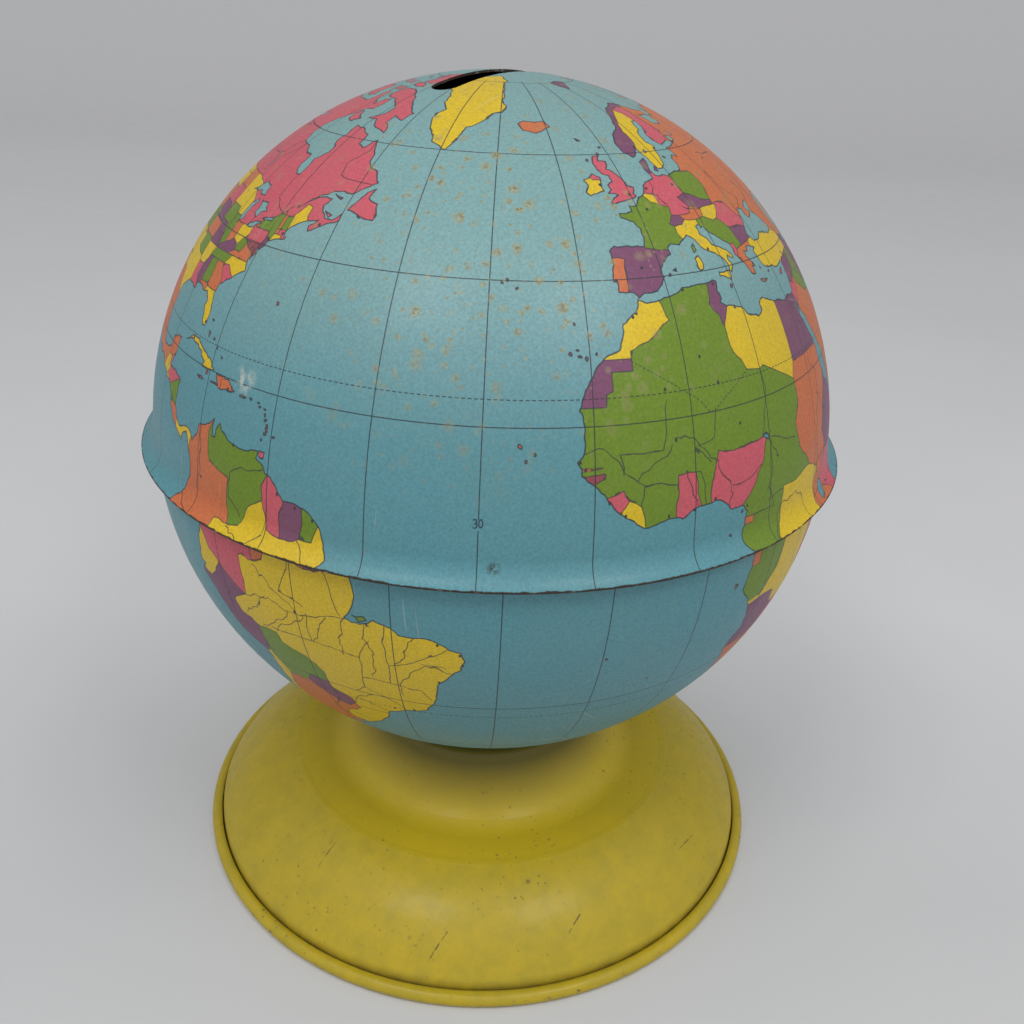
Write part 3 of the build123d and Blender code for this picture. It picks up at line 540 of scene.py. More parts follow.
# Lines inside a country that don't change its colour.
PROVINCES = """
    -60,5 -60.5,1.5 -62.5,0 -58.5,-1.5; -58.2,-2.8 -58.2,-9 -61.5,-9 -66,-9.5; -54.8,2.2 -53,0
    -52.5,-1.2; -50.5,-9.8 -58,-9; -48.5,-5.3 -50.5,-9.8 -50.7,-15; -46,-1 -46.5,-5 -45.9,-10.3
    -46.2,-15 -50.7,-15 -51,-18 -53,-20; -37.3,-4.8 -40.8,-7.5 -44,-9.5 -45.9,-10.3; -37.5,-9
    -41,-8.7; -46.2,-15 -41.5,-15.8 -40,-18.3; -51,-18 -47.5,-20 -44.8,-22.9; -53,-22.6
    -49.5,-24.3 -48.1,-25.3; -53.6,-26.2 -48.7,-26.2; -8,10.3 -11,12.4 -11.5,15.5 -5,15.5
    -4,21.5; 2.7,12 0,15 3.5,16 4.2,19.2; 15.5,13 22,11; 14.5,3.5 18.5,4"""

# Which colour a country or state is printed in: any point inside it.
TINTS = {
    "pink": """
    -106,56 -115,55 -124,55 -98,56 -86,51 -72,52 -62,54 -118,64 -134,63 -100,65 -66,46 -84,43.8
    -92.5,31 -112,34 -100,44.5 -121,44 -81,34 -77.5,40.8 -71.7,42.3 -58.8,5 -88.7,17.2
    -86.5,14.8 10,51 5.5,52.3 19.9,41.2 25,46 26,63.5 -1,8 8,9.5 -12,8.6 37,0.5 34,-6 24,-30
    30,-19 27,-14.5 46,9.8 79,22 75,25 68,29 90,24.3 96,21 102,4.2 57,21 114,3 116,-24 121,-28
    36.3,31 -5.8,54.6""",
    "orange": """
    -74,4 -106,26 -86,40 -98,39 -117,39 -84,32.8 -98.5,47.5 -62,-28 -66,-38 -8,40.2 14,47.5
    22,39.3 30,16 -15.3,13.4 10.2,1.6 60,55 100,60 127,40 100.3,15.5 46,25 -85,10.4 28.5,-29.6
    -107.5,43 -78,37.6 -72,19.2""",
    "yellow": """
    -52,-9 -61,2.5 -52.5,0.8 -65,0.3 -69,45.3 -82,28.5 -92,46.5 -99,31.5 -78.5,35.6 -82.8,40.3
    -109.5,47 -78.5,-1.5 -80,8.7 -90.5,15.3 -154,65 -72.7,41.6 4.7,50.6 12,43 20,47 17,62 -6,32
    -9.5,6.7 18,27 25,-3 35,39 105,35 88,42 117,-1.5 -92.5,34.8 -111.6,39.5 -88.3,44.4 64,33.5
    -88.9,13.6 -106,34.5 22,-22 -70.5,-30 -56,-33 24,2.5""",
    "green": """
    -65,7 -53,4 -64.5,-17 -74.5,43.6 -89.5,40 -86.7,32.8 -120,47.4 -94,42 -105.5,39 -85,12.8
    -63,-18 2,47 18.8,52.2 18,44 0,28 -3,18 -5.5,7.5 8,17.5 18,17 20,7.5 12.5,5.5 12,0 -10,12
    2.3,9 1,8 44,33 107.4,14.2 105,13 -114,44.5 -96.5,36 -72,44.2 85,28.1 -86.5,36 -80.8,38.6
    147,-31 21,41.3""",
    "purple": """
    -56,4 -75,-10 -92.5,38.3 -89.5,32.6 -99.5,41.5 8.2,46.8 15,49.7 25,42.7 -4,40 10,61.5 9.3,56
    9,34.5 -13,25 29,27 42,7 100,47 54,32 36,-15 38.5,35 -115,33 -120,37 -83,37.6 -13.5,23.8
    135,-20 -58.5,-23.5 17.5,-13.5 -74.3,40.2""",
    "maroon": "-14.8,11.8 -76.2,39.4",
}

# The plain number by the 30 degree meridian, as two outlines.
DEGREES_30 = (
    """
    -30.65,6.7 -30.35,6.75 -30.2,6.5 -30.25,6.25 -30.45,6.15 -30.2,6.05 -30.15,5.8 -30.35,5.55
    -30.65,5.6""",
    "-29.8,6.7 -29.6,6.7 -29.45,6.35 -29.45,5.95 -29.6,5.6 -29.8,5.6 -29.95,5.95 -29.95,6.35",
)
SOUTH_TINTS = {"pink": "-71.5,-0.8 -72,-2"}  # where the lower half is inked differently

TOWNS = """
    -71.2,42.3 -74.2,41 -77.1,38.9 -73.7,45.5 -71.5,46.7 -63.8,44.8 -52.9,47.5 -90,30.1
    -80.4,25.9 -82.3,22.9 -66.9,10.3 -74.1,4.6 -58.2,6.6 -55.2,5.6 -52.4,4.7 -48.6,-1.7
    -60.2,-3.3 -38.6,-3.9 -35.1,-8.1 -35.5,-5.8 -38.6,-12.8 -43.3,-22.7 -46.7,-23.3 -58.5,-34.9
    -56.1,-34.6 -70.6,-33.4 -76.9,-12.1 -68.2,-16.6 -57.6,-25.2 -9,38.8 -3.7,40.4 2.3,48.9
    -0.3,51.5 -6.4,53.3 5,52.3 13.4,52.5 12.6,41.9 23.7,38.2 -7.4,33.4 -6.7,33.9 3,36.6 10,36.7
    13.2,32.7 31.2,29.9 -17,14.7 -16.3,13.4 -13,8.5 -10.7,6.5 -0.2,5.8 3.4,6.6 -3,16.6 2.9,26.8
    -4,23 5.5,22.7 8.7,16.9 -4.3,5.6 9.7,4 15.2,-4.2 36.8,-1.3 18.6,-33.8 28.1,-26.2 37.6,55.8
    30.6,60 10.8,60 18,59.4 -99.1,19.4 -87.7,41.5 -112,33.5 -118.1,34.1 -122.2,37.6 -104.9,39.7
    -114.1,51.1 -97.1,49.9 -77.6,18.1 -69.9,18.6 -66.2,18.2 77.2,28.6 72.9,19 80.2,13.2
    88.3,22.7 67.1,25 51.4,35.7 44.4,33.3 46.7,24.7 116.4,39.9 121.3,31.2 113.3,23.2 126.9,37.6
    139.7,35.8 135.4,34.8 96.1,17 100.6,13.9 106.8,-6.3 115.9,-31.9 138.6,-34.8 145,-37.7
    151,-33.8 153,-27.4 69.2,41.3 82.9,55 104.2,52.4 129.7,62 131.9,43.3"""


# How far each kind of line wanders, as a share of its length, and the shortest stretch
# of it, in degrees, that is bent again.
DRAWN = {"coast": (0.11, 0.75), "winding": (0.08, 1.3), "ruled": (0.0, 1.3),
         "desert": (0.0, 1.0), "river": (0.16, 1.0), "province": (0.07, 1.0)}
OVERRUN = 0.9                                # degrees that frontiers are carried past coasts
INK_REACH = 3.0                              # ink isn't looked for further off than this
LAYOUT_LIMIT = -20                           # degrees past the equator that a half lays out
RING, SKIRT_RING = 720, 260                  # points round each rim and each row of the skirt
SKIRT_ROWS, INNER_SKIRT_ROWS = 11, 9
SPACING, INNER_SPACING = 3.0, 4.0            # millimetres between the plain points
MERGED = 1e-5                                # points closer than this become one
PLAIN_GAP, INNER_GAP = 0.5, 1.0              # plain points stay this far off the lines
TOWN = 0.2                                   # radius of a town's dot
CORNERS = ((0, 1), (1, 2), (2, 0))
# The kinds of line that each ink layer measures its distance from.
LAYERS = {"coast": {"coast", "lake"}, "line": {"border", "river", "town"}, "dash": {"desert"}}


def points(text):
    return [tuple(map(float, p.split(","))) for p in text.split()]


def wiggle(a, b, rng, rough, finest):
    """Points after a up to b, in degrees, with the small turns of a drawn coast."""
    east = math.cos(math.radians(min(80, abs(a[1] + b[1]) / 2)))
    dx, dy = (b[0] - a[0]) * east, b[1] - a[1]
    size = math.hypot(dx, dy)
    if size < finest:
        return [b]
    push = rough * rng.uniform(-1, 1)
    middle = ((a[0] + b[0]) / 2 - push * dy / max(east, 0.2), (a[1] + b[1]) / 2 + push * dx)
    return wiggle(a, middle, rng, rough, finest) + wiggle(middle, b, rng, rough, finest)


def drawn(corners, seed, style, closed):
    """A line through its corners, with the small turns of its style added."""
    rng = random.Random(seed)
    rough, finest = DRAWN[style]
    line = [corners[0]]
    for a, b in zip(corners, corners[1:] + corners[:1] * closed):
        line += wiggle(a, b, rng, rough, finest)
    return line[:-1] if closed else line


def longer(line, by):
    """The line with both ends carried on, so that it is sure to reach what it meets."""
    ends = []
    for (x, y), (x1, y1) in ((line[0], line[1]), (line[-1], line[-2])):
        size = math.hypot(x - x1, y - y1)
        ends.append((x + by * (x - x1) / size, y + by * (y - y1) / size))
    return [ends[0]] + line + [ends[1]]


def islet(lon, lat, rng):
    """A speck of an island, about half a degree across."""
    size = rng.uniform(0.13, 0.24)
    east = math.cos(math.radians(min(80, abs(lat))))
    tilt = rng.uniform(0, math.pi)
    ring = []
    for k in range(6):
        a = k * math.pi / 3
        x, y = size * math.cos(a) * 1.4, size * math.sin(a) * rng.uniform(0.7, 1)
        ring.append((lon + (x * math.cos(tilt) - y * math.sin(tilt)) / east,
                     lat + x * math.sin(tilt) + y * math.cos(tilt)))
    return ring


def world():
    """Every line of the map in degrees: (kind, colour, points, closed)."""
    lines = []
    for name, text in LAND.items():
        name, tint = name.split()
        lines.append(("coast", tint, drawn(points(text), name, "coast", True), True))
    for name, text in WATER.items():
        lines.append(("lake", "sea", drawn(points(text), name, "coast", True), True))
    three, nought = DEGREES_30
    lines.append(("coast", "sea", points(three), False))
    lines.append(("coast", "sea", points(nought), True))
    rng = random.Random("islets")
    for tint, text in ISLETS.items():
        for lon, lat in points(text):
            lines.append(("coast", tint, islet(lon, lat, rng), True))
    winding, ruled = BORDERS.split("|")
    for text, style in ((winding, "winding"), (ruled, "ruled")):
        for k, part in enumerate(text.split(";")):
            line = longer(points(part), OVERRUN)
            lines.append(("border", "", drawn(line, k, style, False), False))
    lines.append(("desert", "", drawn(points(DESERT), 7, "desert", False), False))
    for text, style in ((RIVERS, "river"), (PROVINCES, "province")):
        for k, part in enumerate(text.split(";")):
            lines.append(("river", "", drawn(points(part), -k, style, False), False))
    return lines


WORLD = world()


def circle(radius, count):
    """Points round the pole, at a length along the sheet."""
    a = np.arange(count) * 2 * math.pi / count
    return np.stack([radius * np.cos(a), radius * np.sin(a)], -1)


def slot_outline():
    """The coin slot seen from above, then laid out along the sheet."""
    half, r = (SLOT_LENGTH - SLOT_WIDTH) / 2, SLOT_WIDTH / 2
    ring = []
    for side in (1, -1):
        for k in range(13):
            a = side * math.pi / 2 - math.pi * k / 12
            ring.append((side * half + r * math.cos(a), r * math.sin(a)))
        for k in range(1, 12):
            x = side * half * (1 - k / 6)
            ring.append((x, -side * r))
    ring = np.array(ring)
    plan = np.linalg.norm(ring, axis=1, keepdims=True)
    return ring * RADIUS * np.arcsin(plan / RADIUS) / plan


def hexes(spacing, reach):
    """A grid of even triangles that covers a circle of the given reach."""
    row = 0.866
    rows = int(reach / (spacing * row)) + 2
    cols = int(reach / spacing) + 2
    return np.array([((i + 0.5 * (j % 2)) * spacing, j * spacing * row)
                     for j in range(-rows, rows + 1) for i in range(-cols, cols + 1)])


def inside(ring, p):
    """Which of the points p lie in the closed ring."""
    x, y = p[:, 0], p[:, 1]
    hit = np.zeros(len(p), bool)
    for (ax, ay), (bx, by) in zip(ring, np.roll(ring, -1, 0)):
        if ay != by:
            cross = (ay > y) != (by > y)
            hit ^= cross & (x < (bx - ax) * (y - ay) / (by - ay) + ax)
    return hit


def compact(v, f):
    """Only the points that the faces use, the faces, and the points' old and new numbers."""
    used = np.unique(f)
    index = -np.ones(len(v), int)
    index[used] = np.arange(len(used))
    return v[used], index[f], used, index


def triangulate(pts, edges):
    """Triangles over the points that keep every edge, with where each came from."""
    got = geometry.delaunay_2d_cdt([Vector(p) for p in pts], edges, [], 0, MERGED, True)
    return np.array([tuple(v) for v in got[0]]), got[1], np.array(got[2]), got[3], got[4]


class Sheet:
    """One half of the globe: the printed outside, the bare inside and the raw edges."""

    def __init__(self, profile, sign, rings, holes):
        self.profile, self.sign = profile, sign
        self.ball_end = profile.sphere_end if sign > 0 else profile.ball_end
        self.map_end = profile.end if sign > 0 else profile.ball_end     # the print's edge
        pts, edges, kinds = [], [], []

        def add(line, closed, kind):
            first = len(pts)
            pts.extend(map(tuple, line))
            last = len(pts) - 1
            edges.extend((i, i + 1) for i in range(first, last))
            if closed:
                edges.append((last, first))
            kinds.extend([kind] * (len(line) - 1 + closed))

        for s, count in rings:
            add(circle(s, count), True, "ring")
        for hole in holes:
            add(hole, True, "ring")
        far = profile.end + 12               # lines that run on are cut off here ...
        self.land, self.lakes = [], []
        for kind, tint, line, closed in WORLD:
            flat = self.chart(self.trimmed(line) if closed else np.array(line))
            if np.linalg.norm(flat, axis=1).min() > profile.end + 6:
                continue                     # ... and this one misses the half altogether
            if not closed:
                keep = np.linalg.norm(flat, axis=1) < far
                runs = np.split(np.arange(len(flat)), np.where(~keep)[0])
                for run in runs:
                    run = run[keep[run]]
                    if len(run) > 1:
                        add(flat[run], False, kind)
                continue
            add(flat, True, kind)
            (self.land if kind == "coast" else self.lakes).append((tint, flat))
        for lon, lat in points(TOWNS):
            middle = self.chart(np.array([(lon, lat)]))[0]
            if np.linalg.norm(middle) < self.map_end - 3:
                add(middle + circle(TOWN, 8), True, "town")
        self.pts, self.edges, self.kinds, self.holes = pts, edges, kinds, holes
        self.fill()
        self.regions()

    def chart(self, lonlat):
        """Degrees to the flat layout, which stops a little outside the sheet."""
        lon, lat = lonlat.T
        if self.sign > 0:        # this printing sets its land a little off the graticule
            west = np.clip((-30 - lon) / 10, 0, 1) * np.clip((lon + 180) / 10, 0, 1)
            america = np.interp(lat, [0, 4, 12, 17, 19, 60, 90], [0, 0.9, 1.4, 0, -1, -1, 0])
            africa = np.interp(lat, [0, 5, 12, 16], [3, 2.2, 1.3, 0])
            lat = lat + west * america + (1 - west) * africa
        s = self.profile.length(self.sign * np.clip(self.sign * lat, LAYOUT_LIMIT, 90))
        a = np.radians(lonlat[:, 0] - self.profile.hinge)
        return np.stack([s * np.cos(a), s * np.sin(a)], -1)

    def trimmed(self, line):
        """The outline without its crowd of points along the layout's outer limit."""
        kept = []
        for lon, lat in line:
            out = self.sign * lat < LAYOUT_LIMIT + 0.1
            if not (out and kept and kept[-1][2] and abs(lon - kept[-1][0]) < 5):
                kept.append((lon, lat, out))
        return np.array([p[:2] for p in kept])

    def grid(self, spacing, margin):
        """Even points over the sphere's part of the sheet, clear of its edge."""
        p = hexes(spacing, self.profile.end)
        return p[np.linalg.norm(p, axis=1) < self.ball_end - margin]

    def metal(self, middle):
        """Which triangles lie on the sheet and not in a hole, by their middles."""
        keep = np.linalg.norm(middle, axis=1) < self.profile.end
        for hole in self.holes:
            keep &= ~inside(hole, middle)
        return keep

    def skirt_steps(self, count):
        return np.linspace(self.profile.sphere_end, self.profile.end, count)[1:-1]

    def fill(self):
        """Fills between the lines, so that the ink's distance fades away from each."""
        extra = self.grid(SPACING, 1.2)
        if self.sign > 0:
            rows = [circle(s, SKIRT_RING) for s in self.skirt_steps(SKIRT_ROWS)]
            extra = np.concatenate([extra] + rows)
        tree = kdtree.KDTree(len(self.pts))
        for i, p in enumerate(self.pts):
            tree.insert((p[0], p[1], 0), i)
        tree.balance()
        extra = [p for p in extra if tree.find((p[0], p[1], 0))[2] > PLAIN_GAP]
        for turn in range(3):
            v, e, f, _, origin = triangulate(self.pts + [tuple(p) for p in extra], self.edges)
            inked = [{self.kinds[k] for k in o} - {"ring"} for o in origin]
            on_line = np.zeros(len(v), bool)
            for (a, b), kind in zip(e, inked):
                if kind:
                    on_line[a] = on_line[b] = True
            if turn == 2:
                break
            # A plain edge between two lines would carry ink across, so it is split.
            more = [(v[a] + v[b]) / 2 for (a, b), kind in zip(e, inked)
                    if not kind and on_line[a] and on_line[b]
                    and np.linalg.norm(v[a] - v[b]) > 0.25
                    and np.linalg.norm(v[a]) < self.profile.end - 0.05]
            extra = list(extra) + more
        middle = v[f].mean(1)
        keep = self.metal(middle)
        self.v, self.f, self.middle = v, f[keep], middle[keep]
        self.edge_kinds = {tuple(sorted(p)): k for p, k in zip(e, inked) if k}
        self.trim_frontiers({tuple(sorted(p)) for p, k in zip(e, origin) if k})

    def trim_frontiers(self, drawn_edges):
        """Takes off each frontier's loose end, back to the line that it meets."""
        wall = {p for p in drawn_edges
                if p not in self.edge_kinds or self.edge_kinds[p] & {"coast", "lake", "border"}}
        at = {}
        for p in wall:
            for i in p:
                at.setdefault(i, set()).add(p)
        loose = [i for i, ps in at.items() if len(ps) == 1]
        while loose:
            i = loose.pop()
            if len(at[i]) != 1:
                continue
            p = next(iter(at[i]))
            if self.edge_kinds.get(p, set()) != {"border"}:
                continue
            del self.edge_kinds[p]
            for j in p:
                at[j].discard(p)
                if len(at[j]) == 1:
                    loose.append(j)

    def regions(self):
        """Finds each printed area and gives it land or sea, then a country's colour."""
        count = len(self.f)
        owner = list(range(count))

        def root(i):
            while owner[i] != i:
                owner[i] = owner[owner[i]]
                i = owner[i]
            return i

        sides = {}
        for i, tri in enumerate(self.f):
            for a, b in CORNERS:
                sides.setdefault(tuple(sorted((int(tri[a]), int(tri[b])))), []).append(i)
        self.sides = sides
        walls = {"coast", "lake", "border", "town"}
        for pair, (i, *rest) in sides.items():
            if rest and not (self.edge_kinds.get(pair, set()) & walls):
                a, b = root(i), root(rest[0])
                if a != b:
                    owner[a] = b
        group = np.array([root(i) for i in range(count)])
        tint = np.array(["sea"] * count, dtype=object)
        for name, ring in self.land:
            tint[inside(ring, self.middle)] = name
        for name, ring in self.lakes:
            tint[inside(ring, self.middle)] = "sea"
        tints = list(TINTS.items()) + list(SOUTH_TINTS.items()) * (self.sign < 0)
        for name, text in tints:
            for place in self.chart(np.array(points(text))):
                if np.linalg.norm(place) > self.map_end - 0.5:
                    continue
                near = int(((self.middle - place) ** 2).sum(1).argmin())
                if tint[near] != "sea":
                    tint[(group == group[near]) & (tint != "sea")] = name
        for lon, lat in points(TOWNS):
            place = self.chart(np.array([(lon, lat)]))[0]
            tint[((self.middle - place) ** 2).sum(1) < TOWN**2] = "black"
        self.tint = tint

    def part(self, s):
        """Which stretch of the profile a length along the sheet falls in."""
        return np.searchsorted(self.profile.breaks, s)

    def solid(self, p, part, depth):
        """3-D points and outward normals for chart points, in metres."""
        s = np.linalg.norm(p, axis=1)
        flat, n = self.profile.at(s, part)
        flat = flat - depth * n
        way = p / np.maximum(s, 1e-9)[:, None]
        place = np.concatenate([way * flat[:, :1], flat[:, 1:] + CENTRE], 1)
        return place * S, np.concatenate([way * n[:, :1], n[:, 1:]], 1)

    def build(self, name, body, mats):
        """Makes the object: printed outside, bare inside and raw edges, one material each."""
        v, f, used, index = compact(self.v, self.f)
        kinds = {tuple(sorted((index[a], index[b]))): k for (a, b), k in self.edge_kinds.items()
                 if index[a] >= 0 and index[b] >= 0}
        s = np.linalg.norm(v, axis=1)
        outer, _ = self.solid(v, self.part(s), 0.0)

        # Ink: distance from every vertex to the nearest coast or line, in millimetres.
        layers = {}
        for wanted, group in LAYERS.items():
            segments = []
            for (a, b), k in kinds.items():
                faces = self.sides.get(tuple(sorted((int(used[a]), int(used[b])))), [])
                afloat = wanted != "coast" and all(self.tint[i] == "sea" for i in faces)
                if k & group and not afloat:
                    segments.append((a, b))
            layers[wanted] = self.distance(outer / S, segments)
        layers["raw"] = self.profile.end - s                 # how far off the raw edge is

        loops = self.open_loops(f)
        skin_v, skin_f, link = self.inner_skin(v, loops)
        skin, _ = self.solid(skin_v, self.part(np.linalg.norm(skin_v, axis=1)), TIN)
        if self.sign > 0:        # the slot is cut straight down through the crown
            for i in {i for loop in loops[1:] for i in loop}:
                x, y = outer[i][:2] / S
                height = math.sqrt((RADIUS - TIN)**2 - x * x - y * y)
                skin[link[i]] = np.array([x, y, CENTRE + height]) * S
        place = np.concatenate([outer, skin])
        shift = len(outer)
        faces, normals, material, colour = [], [], [], []

        def cover(tris, at, side, tints):
            """Adds the sheet's outside, side 1, or its inside, side -1."""
            depth, first = (0.0, 0) if side > 0 else (TIN, shift)
            parts = self.part(np.linalg.norm(at[tris].mean(1), axis=1))
            for tri, part, tint in zip(tris, parts, tints):
                corner = tri[::side * self.sign]
                _, n = self.solid(at[corner], np.full(3, part), depth)
                faces.append((corner + first).tolist())
                normals.extend((side * n).tolist())
                material.append(1 if side < 0 or (self.sign < 0 and part >= 2) else 0)
                colour.append(INK[tint])

        cover(f, v, 1, self.tint)
        cover(skin_f, skin_v, -1, ["white"] * len(skin_f))
        for loop in loops:
            for a, b in zip(loop, loop[1:] + loop[:1]):
                quad = [b, a, link[a] + shift, link[b] + shift][::self.sign]
                p = place[quad]
                n = np.cross(p[1] - p[0], p[3] - p[0])
                faces.append([int(q) for q in quad])
                normals.extend([(n / np.linalg.norm(n)).tolist()] * 4)
                material.append(2)
                colour.append(INK["white"])

        mesh = bpy.data.meshes.new(name)
        mesh.from_pydata(place.tolist(), [], faces)
        for mat in mats:
            mesh.materials.append(mat)
        mesh.polygons.foreach_set("material_index", material)
        mesh.polygons.foreach_set("use_smooth", [True] * len(faces))
        rgba = mesh.color_attributes.new("ink", "FLOAT_COLOR", "CORNER")
        mesh.color_attributes.active_color = rgba
        flat = []
        for face, c in zip(faces, colour):
            flat.extend((*c, 1.0) * len(face))
        rgba.data.foreach_set("color", flat)
        for wanted, values in layers.items():
            within = np.full(len(skin), 0.0 if wanted == "raw" else INK_REACH)
            layer = mesh.attributes.new(wanted, "FLOAT", "POINT")
            layer.data.foreach_set("value", np.concatenate([values, within]))
        mesh.normals_split_custom_set(normals)
        ob = bpy.data.objects.new(name, mesh)
        bpy.context.scene.collection.objects.link(ob)
        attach(ob, body)
        return ob

    def distance(self, place, segments):
        """How far each place is from the nearest segment, up to the ink's reach."""
        found = np.full(len(place), INK_REACH)
        if not segments:
            return found
        ends = sorted({i for seg in segments for i in seg})
        touching = {}
        for a, b in segments:
            touching.setdefault(a, []).append((a, b))
            touching.setdefault(b, []).append((a, b))
        tree = kdtree.KDTree(len(ends))
        for i in ends:
            tree.insert(place[i], i)
        tree.balance()
        for i, p in enumerate(place):
            _, k, d = tree.find(p)
            if d > INK_REACH:
                continue
            for a, b in touching[k]:
                u = place[b] - place[a]
                t = min(1, max(0, float((p - place[a]) @ u) / max(float(u @ u), 1e-12)))
                d = min(d, float(np.linalg.norm(place[a] + t * u - p)))
            found[i] = d
        return found

    def open_loops(self, f):
        """Rims of the sheet, each followed with its metal on the left."""
        sides = dict.fromkeys((int(tri[a]), int(tri[b])) for tri in f for a, b in CORNERS)
        after = {a: b for a, b in sides if (b, a) not in sides}
        loops = []
        while after:
            a = next(iter(after))
            loop = []
            while a in after:
                loop.append(a)
                a = after.pop(a)
            loops.append(loop)
        return sorted(loops, key=len, reverse=True)

    def inner_skin(self, v, loops):
        """The bare inside's own points and faces, and which point faces each rim point."""
        pts, edges, ids = [], [], []

        def ring(line):
            first, count = len(pts), len(line)
            pts.extend(map(tuple, line))
            edges.extend((first + k, first + (k + 1) % count) for k in range(count))

        for loop in loops:
            ring([v[i] for i in loop])
            ids += loop
        stops = list(self.profile.breaks)
        if self.sign > 0:
            stops += list(self.skirt_steps(INNER_SKIRT_ROWS))
        for s in stops:
            ring(circle(s, 200 if s > 20 else 48))
        rim = np.array(pts)
        pts += [tuple(p) for p in self.grid(INNER_SPACING, 1.5)
                if ((rim - p) ** 2).sum(1).min() > INNER_GAP**2]
        w, _, f, origin, _ = triangulate(pts, edges)
        link = {ids[source]: out for out, sources in enumerate(origin)
                for source in sources if source < len(ids)}
        w, f, _, index = compact(w, f[self.metal(w[f].mean(1))])
        return w, f, {k: int(index[out]) for k, out in link.items()}


# --- Materials ------------------------------------------------------------------
# Marks with a place of their own, as directions from the globe's centre.
NUMBER_AT = (-0.783, -0.603, 0.151)
BLOT_AT = (-0.77, -0.64, 0.05)
SCUFF_AT = (-0.929, -0.014, 0.370)
FOXED_AT = ((-0.52, -0.36, 0.78), (-0.62, -0.42, 0.67), (-0.47, -0.55, 0.69))
# Scratches on the pedestal's dome, from start to end in plan, in millimetres.
STROKES = (((-44.4, -26.1), (-40.1, -26.5)), ((-25.8, -41.8), (-22.6, -41.7)))
STROKE_WIDTH = 0.15

# Their colours, and those of the inks' lines, the varnish and the paint.
GRATICULE_INK, COAST_INK = (0.015, 0.020, 0.025), (0.016, 0.022, 0.035)
BORDER_INK = (0.030, 0.028, 0.030)
CROWN_HAZE_AND_SHEEN, YELLOWED = (0.47, 0.56, 0.44), (0.20, 0.21, 0.12)
FOX_STAIN, FOX_BROWN = (0.31, 0.29, 0.13), (0.17, 0.110, 0.040)
BLOT_TONE = (0.030, 0.027, 0.014)
RUST_AND_SHADOW_DARK, RUST_BROWN = (0.010, 0.009, 0.008), (0.048, 0.030, 0.018)
WHITE_GROUND, RUBBED = (0.46, 0.48, 0.44), (0.50, 0.50, 0.44)
PAINT, PAINT_DULL = (0.455, 0.325, 0.008), (0.400, 0.296, 0.010)
PAINT_MOTTLE, PAINT_GRIMED = (0.390, 0.300, 0.020), (0.300, 0.245, 0.018)
SHELF_PAINTED_LIGHT, NECK_PAINTED_SHADE = (0.600, 0.430, 0.014), (0.072, 0.064, 0.006)
CREASE_BROWN_DARK, GRIT_BROWN = (0.130, 0.088, 0.022), (0.17, 0.115, 0.035)
DARK_METAL, SCRATCHED = (0.10, 0.075, 0.045), (0.085, 0.060, 0.022)


